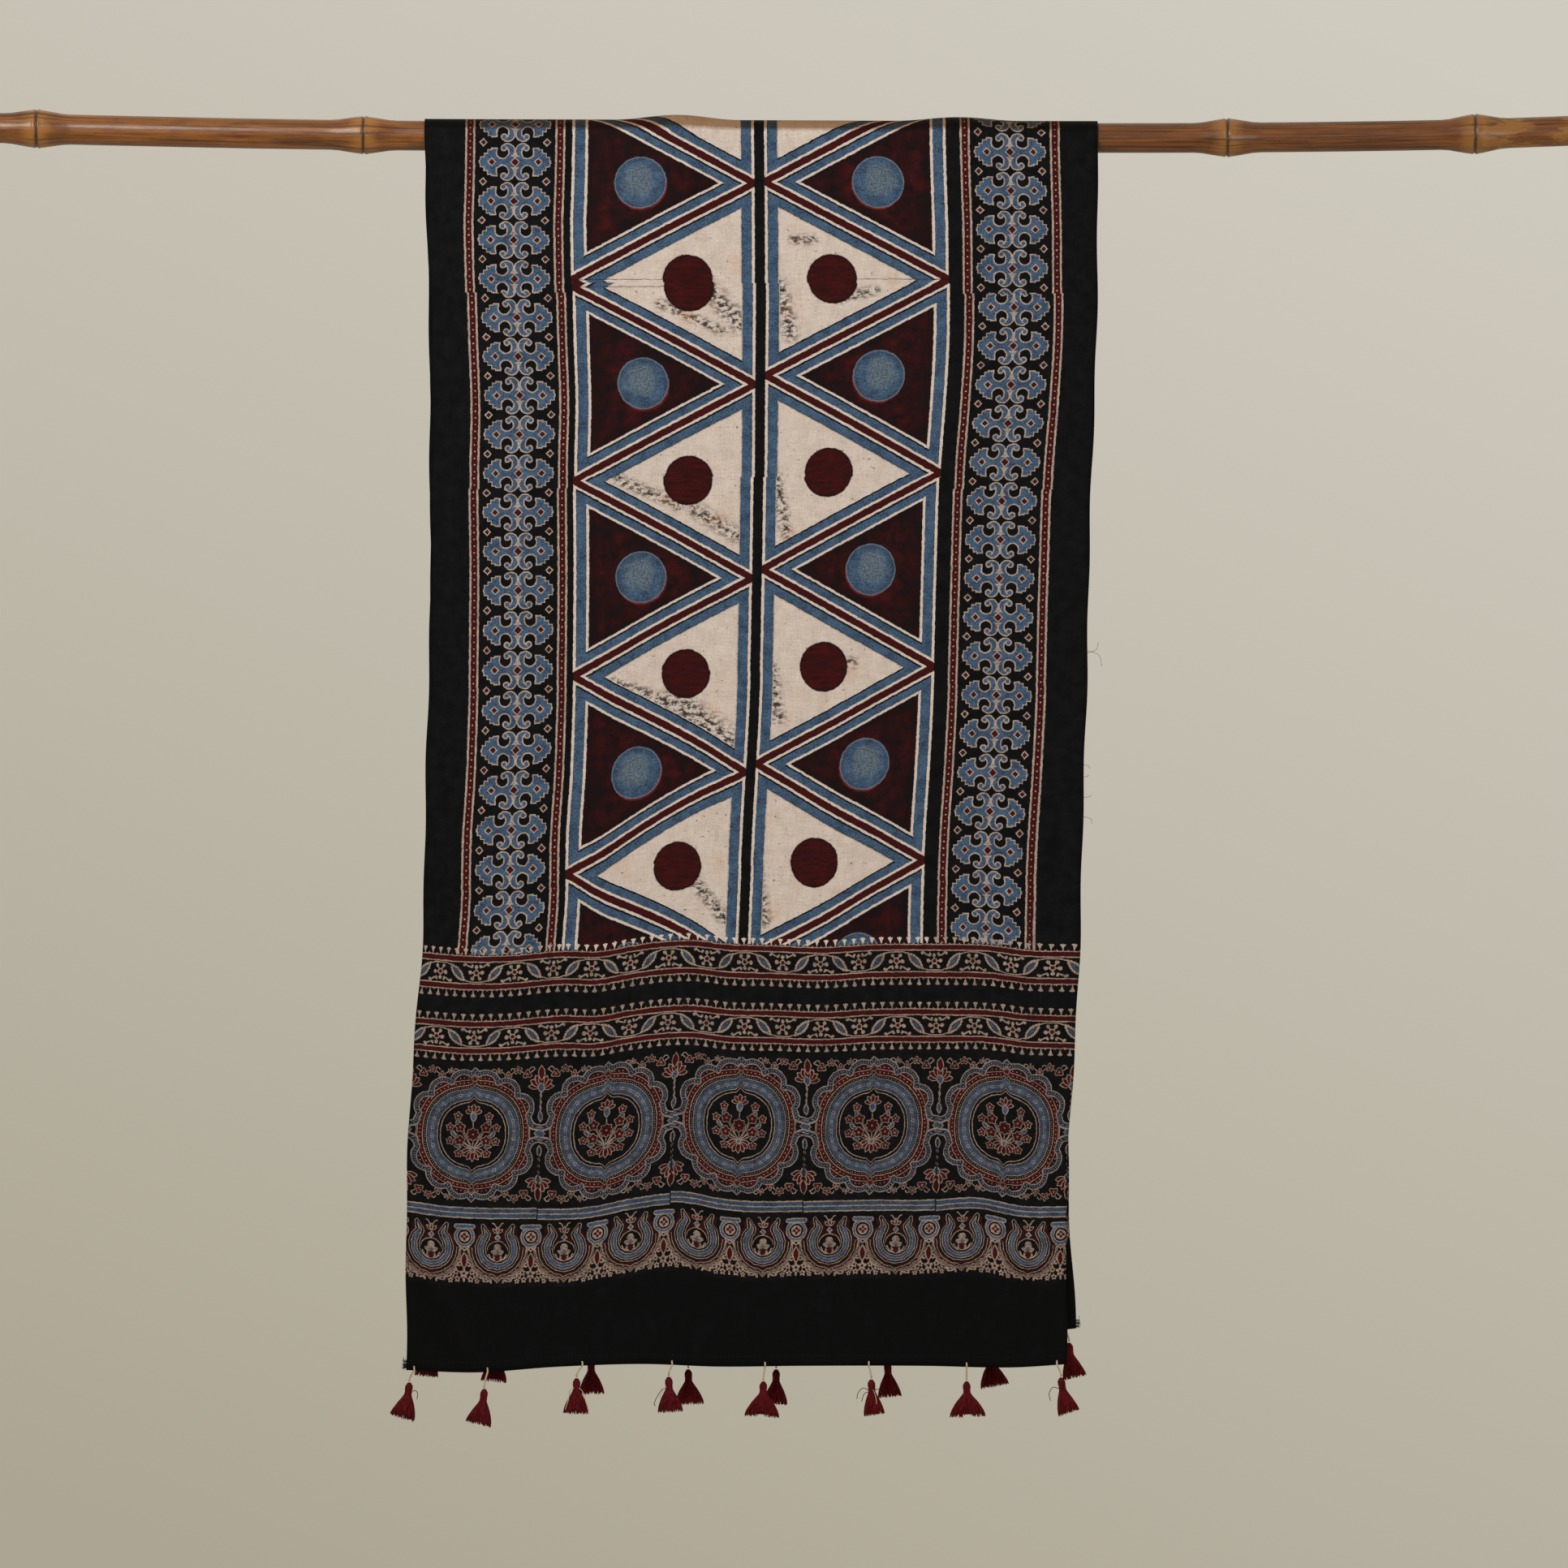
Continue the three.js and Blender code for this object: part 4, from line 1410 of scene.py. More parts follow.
def draw_paisleys(paint, inks, across, high):
    along = high - PAISLEY_RISE
    aside = across.row(PAISLEY_START, PAISLEY_PITCH)
    place = Place.at(aside, along)
    beside = Place.at(PAISLEY_PITCH / 2 - aside, along)
    lyre = place.path(LYRE, 0.0) + (along - LYRE_TAPER_FROM).math("MAXIMUM", 0.0) * LYRE_TAPER
    below = along - LYRE_SHOULDER
    point = (LYRE_FOOT - aside * 0.5).math("MAXIMUM", 0.0) * (1 - along.past(LYRE_MIDDLE))
    scalloped = lyre + aside.row(0, 6.2) * 0.42 - point
    turn = aside.math("ARCTAN2", along - LYRE_MIDDLE) * (1 / math.pi)
    lay_lace(paint, inks, aside, scalloped, turn, along)
    for reach, ink in SCALLOPED_RIMS:
        paint.lay(getattr(inks, ink), overlap(scalloped - reach, below))
    for reach, ink in LYRE_RIMS:
        paint.lay(getattr(inks, ink), overlap(lyre - reach - point * 0.6, below))
    paint.lay(inks.dark, overlap(lyre - 7.0, LYRE_SHOULDER - along, along - 118))
    paint.lay(inks.dark, place.disc(0, LYRE_MIDDLE, 11.5))
    paint.lay(inks.cream, place.disc(0, LYRE_MIDDLE, 9.4))
    paint.lay(inks.black, union(place.disc(0, LYRE_MIDDLE, 8.8), lyre - 5.4))
    paint.nest(lyre, (-4.5, inks.cream), (-3.95, inks.black), (-2.6, inks.cream), (-2.05, inks.dark_blue))
    paint.lay(inks.cream, overlap(beads(lyre, turn, 26, 0.42, 28), along - 114))
    lay_lyre_heart(paint, inks, aside, along, place)
    lay_between_lyres(paint, inks, beside)


def lay_lace(paint, inks, aside, scalloped, turn, along):
    """Small red-eyed flowers and leaves along the foot of the lyres."""
    foot = overlap(along - 92, 4.2 - aside)
    lace = beads(scalloped - 13.7, turn, 12, 1.6, 33)
    leaves = beads(scalloped - 12.6, turn + 0.042, 12, 0.8, 33)
    paint.lay(inks.cream, overlap(union(lace, leaves), foot))
    paint.lay(inks.madder, overlap(lace + 0.85, foot))


def lay_lyre_heart(paint, inks, aside, along, place):
    """The flower inside each lyre, and the knot and bud in its neck."""
    flower = union(place.flower(0, 96.5, 4.6, 5, 1.1), place.disc(0, 101.2, 3.0))
    paint.lay(inks.cream, union(flower, place.path([(2, 91), (5.4, 92), (7.2, 95.5)], 0.5)))
    paint.lay(inks.madder, place.flower(0, 93.4, 2.5, 6, 0.6))
    paint.lay(inks.black, overlap(flower + 0.5, 0.56 - noise(paint.tree, place, 0.5, 2.0)))
    paint.lay(inks.blue, place.disc(0, 97, 1.2))
    knot = aside + abs(along - 109.6) - 2.8
    paint.nest(knot, (0, inks.cream), (1.1, inks.blue), softness=DIAMOND_SOFTNESS)
    lay_petals(paint, inks, fan(place, 0, 113, (90, 42), 3.0, 1.4), inks.madder, 0.6)
    paint.lay(inks.cream, place.path([(0.6, 117), (3.0, 121), (4.6, 121.6)], 0.4))


def lay_between_lyres(paint, inks, beside):
    """The bar, ringed rosette, bow, candle and blossom between two lyres."""
    ring = beside.disc(0, ROSETTE_HEIGHT, 8.9)
    rims = ((0, inks.cream), (0.8, inks.blue), (2.4, inks.cream), (3.1, inks.black), (4.6, inks.cream))
    paint.nest(ring, *rims)
    paint.lay(inks.madder, beside.flower(0, ROSETTE_HEIGHT, 2.6, 4, 0.8))
    paint.lay(inks.cream, beside.disc(0, ROSETTE_HEIGHT, 0.9))
    bar = beside.stroke((0, 118.4), (7.0, 118.4), 2.0)
    paint.nest(bar, (0, inks.cream), (0.8, inks.blue))
    bow = union(beside.stroke((0, 98.4), (4.2, 101.6), 0.5), beside.stroke((0, 101.6), (4.2, 98.4), 0.5))
    paint.lay(inks.cream, bow)
    candle = beside.turned(0, 90, 90).leaf(7.2, 3.0)
    paint.nest(candle, (0, inks.cream), (0.9, inks.madder))
    flowers = union(*(beside.flower(spot.x, spot.y, spot.radius, 5, spot.depth) for spot in FOOT_BLOSSOMS))
    drops = union(*(beside.stroke(*drop) for drop in FOOT_DROPS))
    paint.lay(inks.cream, union(flowers, drops))
    paint.lay(inks.madder, union(*(beside.disc(spot.x, spot.y, spot.eye) for spot in FOOT_BLOSSOMS)))


def draw_plain(paint, inks, across, along):
    """The plain dyed end below the print."""
    rub = noise(paint.tree, Place.at(across, along), 0.05, 4.0, 0.6).between(0.5, 0.78)
    paint.lay(BLACK[0], along - PLAIN_END, EDGE_SOFTNESS, 1 - rub)


DRAWINGS = {
    "plain": draw_plain,
    "paisley": draw_paisleys,
    "medallion": draw_medallions,
    "bands": draw_bands,
    "side": draw_side,
    "field": draw_field,
}


def skin(rings):
    """Vertices and faces of a closed tube through rings of points."""
    count, sides, _ = rings.shape
    faces = []
    for ring in range(count - 1):
        for side in range(sides):
            after = (side + 1) % sides
            here, there = ring * sides, (ring + 1) * sides
            faces.append([here + side, here + after, there + after, there + side])
    faces.append(list(reversed(range(sides))))
    faces.append(list(range((count - 1) * sides, count * sides)))
    return rings.reshape(-1, 3), faces


def tube(points, radii, sides, ply=0.0, twist=0.0):
    """A tube along points, closed at both ends. ply and twist wind its section into a two-ply yarn."""
    points = np.asarray(points, float)
    radii = np.broadcast_to(radii, len(points))
    headings = np.gradient(points, axis=0)
    headings /= np.linalg.norm(headings, axis=1, keepdims=True)
    steps = np.linalg.norm(np.diff(points, axis=0), axis=1)
    run = np.concatenate([[0], np.cumsum(steps)])
    angles = 2 * np.pi * np.arange(sides) / sides
    side_on = np.array([0.28, 0.91, 0.31])
    rings = []
    for point, heading, radius, reach in zip(points, headings, radii, run):
        side_on = side_on - heading * (side_on @ heading)
        side_on /= np.linalg.norm(side_on)
        across = np.cross(heading, side_on)
        out = radius * (1 + ply * np.cos(2 * (angles - twist * reach)))
        turned = np.cos(angles)[:, None] * side_on + np.sin(angles)[:, None] * across
        rings.append(point + out[:, None] * turned)
    return skin(np.array(rings))


def join(parts):
    """Several lists of vertices and faces as one."""
    vertices = []
    faces = []
    start = 0
    for points, shape in parts:
        vertices.append(points)
        faces += [[start + place for place in face] for face in shape]
        start += len(points)
    return np.concatenate(vertices), faces


def curve_through(points, steps):
    """Points of a smooth curve through given ones."""
    points = np.asarray(points, float)
    ends = np.concatenate([[2 * points[0] - points[1]], points, [2 * points[-1] - points[-2]]])
    curve = []
    for before, start, end, after in zip(ends, ends[1:], ends[2:], ends[3:]):
        p = np.linspace(0, 1, steps, endpoint=False)[:, None]
        bend = (2 * before - 5 * start + 4 * end - after) * p**2
        bend = bend + (3 * start - before - 3 * end + after) * p**3
        curve.append(start + 0.5 * ((end - before) * p + bend))
    return np.concatenate([*curve, points[-1:]])


# The pole's knuckles: a groove where the sheath was, between two raised rings
Ring = namedtuple("Ring", "off height width")
KNUCKLE_RINGS = [
    Ring(0, -0.75, 0.6),
    Ring(1.9, 0.5, 1.3),
    Ring(-2.2, 0.3, 1.2),
]
POLE_SIDES = 48
POLE_PITCH = 7
KNUCKLE_PITCH = 0.7
KNUCKLE_SPAN = 7
SAW_BEVEL = 0.7
PITH_RADIUS = 3.4
PITH_DEPTH = 9
PITH_TAPER = 0.8


def pole_surface(along, angle):
    """The pole's radius at a place, with its rings and slight unroundness."""
    uneven = 0.01 * np.cos(2 * angle + along / 190) + 0.005 * np.sin(3 * angle - along / 70)
    radius = pole_radius(along) * (1 + uneven)
    for knuckle in KNUCKLES:
        off = along - knuckle.along + 0.5 * np.sin(2 * angle + knuckle.along)
        for ring in KNUCKLE_RINGS:
            radius = radius + ring.height * np.exp(-(((off - ring.off) / ring.width) ** 2))
    return radius


def pole_stations():
    """Where the pole's rings of vertices stand, closer at its knuckles."""
    stops = [POLE_LEFT_END + SAW_BEVEL]
    for knuckle in KNUCKLES:
        stops += [knuckle.along - KNUCKLE_SPAN, knuckle.along + KNUCKLE_SPAN]
    stops.append(POLE_RIGHT_END - SAW_BEVEL)
    stations = [stops[0]]
    for number, (start, end) in enumerate(zip(stops, stops[1:])):
        stations += stretches([start, end], KNUCKLE_PITCH if number % 2 else POLE_PITCH)[1:]
    return np.array(stations)


def make_pole():
    """The bamboo pole, its sawn ends with a small pith hollow, and a chart along and around its bark."""
    stations = pole_stations()
    angles = np.pi - 2 * np.pi * np.arange(POLE_SIDES) / POLE_SIDES
    rings = [(place, pole_surface(place, angles)) for place in stations]
    for end, inward, at in ((POLE_LEFT_END, 1, 0), (POLE_RIGHT_END, -1, -1)):
        rim = rings[at][1]
        caps = [
            (end, rim - SAW_BEVEL),
            (end, np.full(POLE_SIDES, PITH_RADIUS)),
            (end + inward * PITH_DEPTH, np.full(POLE_SIDES, PITH_RADIUS * PITH_TAPER)),
        ]
        rings = [*reversed(caps), *rings] if at == 0 else [*rings, *caps]
    points = []
    for place, radius in rings:
        height = float(pole_height(place))
        ring = [np.full(POLE_SIDES, place), -radius * np.cos(angles), height + radius * np.sin(angles)]
        points.append(np.stack(ring, -1))
    pole = new_piece("bamboo_pole", *skin(np.array(points)))
    segments = len(rings) - 1
    sawn = np.isin(np.arange(segments), (0, 1, segments - 2, segments - 1))
    pole.data.polygons.foreach_set("material_index", [*np.repeat(sawn, POLE_SIDES).astype(int), 1, 1])
    flat = np.repeat(np.isin(np.arange(segments), (1, segments - 2)), POLE_SIDES)
    pole.data.polygons.foreach_set("use_smooth", [*np.logical_not(flat).tolist(), False, False])
    around = (np.pi - 2 * np.pi * np.arange(POLE_SIDES + 1) / POLE_SIDES) * INTERNODE_RADIUS
    chart = []
    for (start, _), (end, _) in zip(rings, rings[1:]):
        for low, high in zip(around, around[1:]):
            chart += [(start, low), (start, high), (end, high), (end, low)]
    for place, _ in (rings[0], rings[-1]):
        chart += [(place, height) for height in around[:-1]]
    layer = pole.data.uv_layers.new(name="Bark")
    layer.data.foreach_set("uv", (np.array(chart) * MM).astype(np.float32).ravel())
    return pole


BARK_LEFT = (linear(142, 88, 36), linear(94, 50, 17))
BARK_RIGHT = (linear(126, 74, 28), linear(78, 40, 14))
BARK_PALE = linear(160, 110, 52)
BARK_DARK = linear(66, 36, 16)
BURNT = linear(40, 20, 10)
SCRAPED_FROM = 600


def bark_material():
    """Varnished bamboo bark: long streaks, scorched patches, knuckle scars and scrapes."""
    material, tree = new_material("bamboo_bark")
    still = chart_place(tree, "Bark")
    along, _ = still.parts()
    streaks = noise(tree, still.vector("MULTIPLY", (0.011, 0.4, 0)), 1.0, 4.0, 0.6).between(0.34, 0.66)
    fine = noise(tree, still.vector("MULTIPLY", (0.05, 1.6, 0)), 1.0, 3.0, 0.6)
    blotches = noise(tree, still.vector("MULTIPLY", (0.03, 0.09, 0)), 1.0, 4.0, 0.62)
    to_right = along.between(-300, 300)
    ground = mix(tree, to_right, mix(tree, streaks, *BARK_LEFT), mix(tree, streaks, *BARK_RIGHT))
    paint = Paint(tree, ground)
    paint.lay(BARK_DARK, 0.56 - blotches, 0.16, 0.5)
    to_knuckle = union(*(abs(along - knuckle.along) for knuckle in KNUCKLES))
    paint.lay(BARK_PALE, to_knuckle + blotches * 14 - 17, 9, 0.5)
    paint.lay(BARK_PALE, overlap(0.5 - blotches, SCRAPED_FROM - along), 0.08, 0.6)
    scorch = noise(tree, still.vector("MULTIPLY", (0.007, 0.3, 0)), 1.0, 3.0, 0.55)
    paint.lay(BURNT, 0.6 - scorch, 0.07, 0.6)
    scars = to_knuckle + fine * 2.4 - 2.6
    paint.lay(BARK_DARK, scars, 1.6, 0.8)
    paint.lay(BURNT, to_knuckle + fine * 1.2 - 1.1, 0.7, 0.9)
    specks = noise(tree, still, 0.4, 2.0, 0.6)
    paint.lay(BURNT, 0.7 - specks, 0.05, 0.8)
    surface = {
        "Base Color": paint.colour,
        "Roughness": fine.math("MULTIPLY_ADD", 0.4, 0.14),
        "Coat Weight": 0.22,
        "Coat Roughness": 0.14,
        "Specular IOR Level": 0.3,
    }
    set_surface(tree, surface)
    add_relief(tree, streaks * 0.6 + fine + blotches, 0.4, 0.35)
    return material


def object_place(tree):
    """The object's own place in millimetres."""
    chart = tree.nodes.new("ShaderNodeTexCoord")
    return Place(tree, chart.outputs["Object"]).vector("MULTIPLY", (1 / MM,) * 3)


SAWN = (linear(192, 156, 108), linear(150, 110, 70))
PORE = linear(84, 52, 30)


def sawn_material():
    """The sawn end of the pole: pale fibres with dark pores."""
    material, tree = new_material("bamboo_sawn_end")
    place = object_place(tree)
    pores = tree.nodes.new("ShaderNodeTexVoronoi")
    pores.inputs["Scale"].default_value = 0.8
    plug(tree, pores.inputs["Vector"], place.vector("MULTIPLY", (0.05, 1, 1)))
    to_pore = Field(tree, pores.outputs["Distance"])
    mottle = noise(tree, place, 0.4, 3.0).between(0.3, 0.7)
    paint = Paint(tree, mix(tree, mottle, *SAWN))
    paint.lay(PORE, to_pore - 0.22, 0.2, 0.8)
    set_surface(tree, {"Base Color": paint.colour, "Roughness": mottle.math("MULTIPLY_ADD", 0.2, 0.65)})
    add_relief(tree, to_pore, 0.4, 0.3)
    return material


# The wine yarn's light and dark colours are its lit and its shaded colour: painted light and shade, mixed
# strand by strand.
WINE_YARN_LIT_AND_SHADED = (linear(104, 14, 21), linear(36, 3, 7))
STRAY_YARN = (linear(66, 44, 34), linear(34, 20, 16))
PALE_THREAD = (linear(198, 180, 154), linear(150, 130, 106))
BLACK_THREAD = (linear(30, 28, 30), linear(12, 11, 12))


def yarn_material(name, light, dark, pitch):
    """Spun yarn: colour that varies from strand to strand between its light and dark colour, which for the
    wine yarn are its lit and its shaded colour as painted light and shade; and fibres that catch the light,
    through relief, roughness and painted highlights and shade in the colour.
    """
    material, tree = new_material(name)
    place = object_place(tree)
    stretched = place.vector("MULTIPLY", (1 / pitch, 1 / pitch, 0.12 / pitch))
    strand_tone_and_shade = noise(tree, stretched, 1.0, 3.0, 0.65).between(0.32, 0.68)
    fuzz = noise(tree, place, 3.0, 2.0, 0.6)
    paint = mix(tree, strand_tone_and_shade, light, dark)
    # The fuzz lightens and darkens the colour: painted highlights and shade on the fibres.
    shade = fuzz.math("MULTIPLY_ADD", 0.8, 0.6)
    surface = {
        "Base Color": mix(tree, 1.0, paint, shade, "MULTIPLY"),
        "Roughness": fuzz.math("MULTIPLY_ADD", 0.25, 0.65),
        "Specular IOR Level": 0.12,
    }
    set_surface(tree, surface)
    add_relief(tree, fuzz, 0.5, 0.15)
    return material


def hem_hole(panel, across):
    """The middle of the hem's thickness where a tassel's thread goes through it."""
    return face_point(panel, np.array(across, float), float(THREAD_PIERCE), HEM_THICKNESS / 2)


def thread_route(tassel):
    """A thread's loop from one face of the hem to the tassel's head and up to the other face."""
    leg = SOLID_HEM_THICKNESS / 2 + PIECE_GAP + THREAD_RADIUS
    foot = THREAD_RADIUS - tassel.drop
    bend_top = foot + THREAD_BEND
    knee = (tassel.shift * THREAD_KNEE_SHIFT, leg * THREAD_KNEE_LEG, (bend_top - THREAD_PIERCE) / 2)
    down = [
        (0, -HEM_THICKNESS / 2 + 0.3, -0.7),
        (0, -leg * 0.9, -1.7),
        (0, -leg, -THREAD_PIERCE),
        (knee[0], -knee[1], knee[2]),
        (tassel.shift, -THREAD_BEND, bend_top),
    ]
    up = [(x, -y, z) for x, y, z in reversed(down)]
    return [*down, (tassel.shift, 0, foot), *up]


THREAD_SIDES = 10
THREAD_STEPS = 7
THREAD_PLY = 0.2
THREAD_TWIST = 1.5
THREAD_WIDTH_SHARE = 0.86


def make_thread(name, hole, tassel):
    points = curve_through(thread_route(tassel), THREAD_STEPS)
    shape = tube(points + hole, THREAD_RADIUS * THREAD_WIDTH_SHARE, THREAD_SIDES, THREAD_PLY, THREAD_TWIST)
    return new_piece(name, *shape)


STRAND_STEPS = 11
STRAND_SIDES = 4
OUTER_STRANDS = 84
INNER_STRANDS = 40
CORE_SIDES = 20
CORE_STEPS = 14
CORE_END = 0.9
CORE_WIDTH_SHARE = 0.88
BINDING_TURNS = 3.5
BINDING_SPAN = (0.265, 0.325)
BINDING_RADIUS = 0.42
WIDE_SKIRT = 28
PARTING_HALF = 0.3
PARTING_RISE = 0.1
TILT = 0.05
STRAND_END = 0.965
STRAND_STOPS = [0, 0.3, 0.6, 1]
STRAND_RADII = [0.22, 0.22, 0.4, 0.42]
OUTER_REACH = 0.95
INNER_REACH = (0.4, 0.88)


def tassel_radius(share, tassel):
    """A tassel's outline radius at a share of its length."""
    downs = [row.down for row in TASSEL_OUTLINE]
    head = np.interp(share, downs, [row.head for row in TASSEL_OUTLINE])
    foot = np.interp(share, downs, [row.foot for row in TASSEL_OUTLINE])
    return TASSEL_HEAD_RADIUS * head + foot * tassel.skirt / 2


def tassel_points(share, radius, turn, tassel):
    """Points under a tassel's top at some radius and turn about its leaning middle."""
    aside = radius * np.sin(turn)
    drop = TASSEL_LENGTH * share - TILT * tassel.lean * aside * share
    forward = radius * np.cos(turn) * TASSEL_DEPTH_SHARE
    return np.stack([aside + tassel.lean * share**LEAN_POWER, forward, -drop], -1)


def make_strand(chance, tassel, turn, reach):
    """One yarn from the tassel's head to its ragged foot."""
    end = STRAND_END + chance.uniform(-0.035, 0.03)
    part = abs(math.sin(turn)) * reach
    if tassel.skirt > WIDE_SKIRT and part < PARTING_HALF:
        end -= PARTING_RISE * (1 - part / PARTING_HALF)
    share = np.linspace(0.01, end, STRAND_STEPS)
    radius = tassel_radius(share, tassel) * reach
    sway = chance.uniform(-0.1, 0.1) * np.clip(share - 0.4, 0, 1) ** 2 * 4
    points = tassel_points(share, radius, turn + sway, tassel)
    points[:, 0] += chance.uniform(-0.4, 0.4) * np.clip(share - 0.55, 0, 1) * 2
    thick = np.interp(share, STRAND_STOPS, STRAND_RADII) * chance.uniform(0.85, 1.15)
    thick[-1] *= 0.5
    return tube(points, thick, STRAND_SIDES)


def make_core(tassel):
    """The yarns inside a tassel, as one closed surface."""
    share = np.linspace(0.004, CORE_END, CORE_STEPS)
    turns = -2 * np.pi * np.arange(CORE_SIDES) / CORE_SIDES
    radii = tassel_radius(share, tassel) * CORE_WIDTH_SHARE
    rings = [tassel_points(place, radius, turns, tassel) for place, radius in zip(share, radii)]
    return skin(np.array(rings)[:, ::-1])


def make_binding(tassel):
    """Turns of yarn round the neck."""
    turns = np.linspace(0, 2 * np.pi * BINDING_TURNS, round(20 * BINDING_TURNS))
    share = np.linspace(*BINDING_SPAN, len(turns))
    radius = tassel_radius(share, tassel) + 0.2
    return tube(tassel_points(share, radius, turns, tassel), BINDING_RADIUS, 6)


# Stray ends beside a tassel's neck, as places right of and above the head's top: yarn, then pale thread
FRONT_STRAYS = {
    1: [[(2, -8), (5, -6.5), (7, -9), (6.5, -14)]],
    4: [[(-2, -9), (-6, -11), (-10, -17), (-12, -22), (-11, -24)]],
    6: [
        [(-2, -9), (-7, -7), (-11, -11), (-12, -16)],
        [(-2, -10), (-6, -12), (-8, -18)],
        [(2, -9), (6, -8), (10, -13)],
    ],
    8: [[(-2, -9), (-7, -8), (-10, -13), (-9, -19)]],
}
FRONT_PALE_STRAYS = {
    3: [[(-2, -8), (-5.4, -10), (-6.6, -17), (-9.4, -26)], [(2, -8), (5, -11), (7.6, -19), (10.4, -27)]],
    4: [[(-2, -8.5), (-5, -11), (-7.4, -17)]],
    6: [[(1.6, -8.5), (3.6, -14), (4.4, -21)]],
}
STRAY_RADIUS = 0.3
STRAY_FORWARD = 3.2
STRAY_SPREAD = 0.35


def make_tassel(name, top, tassel, strays, pale_strays):
    """A tassel of yarn, its bound neck and any stray ends."""
    chance = random.Random(name)
    parts = [make_core(tassel)]
    for number in range(OUTER_STRANDS):
        turn = 2 * math.pi * (number + chance.uniform(-0.3, 0.3)) / OUTER_STRANDS
        parts.append(make_strand(chance, tassel, turn, OUTER_REACH))
    for number in range(INNER_STRANDS):
        turn = 2 * math.pi * (number + chance.uniform(-0.4, 0.4)) / INNER_STRANDS
        parts.append(make_strand(chance, tassel, turn, chance.uniform(*INNER_REACH)))
    parts.append(make_binding(tassel))
    materials = [0] * sum(len(faces) for _, faces in parts)
    for index, ends in ((1, strays), (2, pale_strays)):
        for end in ends:
            points = curve_through([(x, -STRAY_FORWARD - STRAY_SPREAD * abs(x), z) for x, z in end], 6)
            parts.append(tube(points, STRAY_RADIUS, 6))
            materials += [index] * len(parts[-1][1])
    vertices, faces = join(parts)
    piece = new_piece(name, vertices + top, faces)
    piece.data.polygons.foreach_set("material_index", materials)
    return piece


STITCH_RISE = 8.2
STITCH_PITCH = 3.7
STITCH_LENGTH = 2.5
STITCH_RADIUS = 0.26
STITCH_MARGIN = 3
STITCH_SINK = np.array([0.3, 0.02, -0.08, 0.02, 0.3])


def make_stitches(name, panel):
    """A running stitch along the top of a hem."""
    parts = []
    for place in np.arange(STITCH_MARGIN, CLOTH_WIDTH - STITCH_MARGIN, STITCH_PITCH):
        across = place + np.linspace(0, STITCH_LENGTH, len(STITCH_SINK))
        points = face_point(panel, across, np.full(len(STITCH_SINK), STITCH_RISE), STITCH_SINK)
        parts.append(tube(points, STITCH_RADIUS, STRAND_SIDES))
    return new_piece(name, *join(parts))


# Frayed corners of the hems, and hairs that have come loose from the right selvedge
Fray = namedtuple("Fray", "panel across rise count")
FRAYS = [
    Fray(FRONT, 0, 5, 44),
    Fray(BACK, CLOTH_WIDTH, 4, 34),
]
Hair = namedtuple("Hair", "rise reach drop")
LOOSE_HAIRS = [
    Hair(593, 12, -13),
    Hair(591, 9, 9),
    Hair(498, 5, -3),
    Hair(488, 4, 2),
    Hair(471, 6, 2),
    Hair(455, 7, -6),
]
FIBRE_RADIUS = 0.15
FIBRE_SIDES = 4
FIBRE_INSET = 0.25
FRAY_SPREAD = 3.6
FRAY_REACH = (1.2, 4.2)
FRAY_TURN = 1.2


def make_fibres():
    """Loose fibres at the frayed corners and along the right selvedge."""
    chance = random.Random("fibres")
    parts = []
    for fray in FRAYS:
        side = -1 if fray.across == 0 else 1
        for _ in range(fray.count):
            rise = np.array(fray.rise + chance.uniform(-FRAY_SPREAD, FRAY_SPREAD))
            inset = FIBRE_INSET + chance.uniform(0, 1.2)
            start = face_point(fray.panel, np.array(float(fray.across)), rise, inset)
            reach = chance.uniform(*FRAY_REACH)
            turn = chance.uniform(-FRAY_TURN, FRAY_TURN)
            bend = np.array([side * reach * 0.6, chance.uniform(-0.9, 0.9), reach * turn * 0.2])
            aside = side * reach * (1.1 - 0.4 * abs(turn))
            end = np.array([aside, chance.uniform(-1.6, 1.6), reach * turn])
            points = curve_through([start, start + bend, start + end], 4)
            parts.append(tube(points, FIBRE_RADIUS, FIBRE_SIDES))
    for hair in LOOSE_HAIRS:
        start = face_point(FRONT, np.array(float(CLOTH_WIDTH)), np.array(float(hair.rise)), FIBRE_INSET)
        bend = np.array([hair.reach * 0.8, -1.0, hair.drop * 0.3])
        end = np.array([hair.reach, -0.4, hair.drop])
        points = curve_through([start, start + bend, start + end], 6)
        parts.append(tube(points, FIBRE_RADIUS, FIBRE_SIDES))
    return new_piece("loose_fibres", *join(parts))


BACKDROP_LOW = linear(172, 165, 147)
BACKDROP_HIGH = linear(208, 203, 191)
BACKDROP_SLOPE = (0.4, 0, 1)
BACKDROP_SPAN = (-0.0925, 0.093)
FLOOR_COLOUR = linear(214, 209, 198)
FLOOR_HEIGHT = -1.46
FLOOR_RADIUS = 1.25
FLOOR_SIDES = 96
Lamp = namedtuple("Lamp", "name place aim size energy")
LAMPS = [
    Lamp("key", (-0.9, -1.7, 0.75), (0, 0, -0.35), 0.9, 26),
    Lamp("fill", (1.4, -2.2, -0.2), (0, 0, -0.55), 1.2, 10),
]


def make_backdrop():
    """Pale, even surroundings, lighter towards the upper right."""
    world = bpy.data.worlds.new("studio")
    bpy.context.scene.world = world
    world.use_nodes = True
    tree = world.node_tree
    background = tree.nodes["Background"]
    chart = tree.nodes.new("ShaderNodeTexCoord")
    rising = Place(tree, chart.outputs["Generated"]).measure("DOT_PRODUCT", BACKDROP_SLOPE)
    share = rising.between(*BACKDROP_SPAN)
    plug(tree, background.inputs["Color"], mix(tree, share, BACKDROP_LOW, BACKDROP_HIGH))
    background.inputs["Strength"].default_value = 1.0


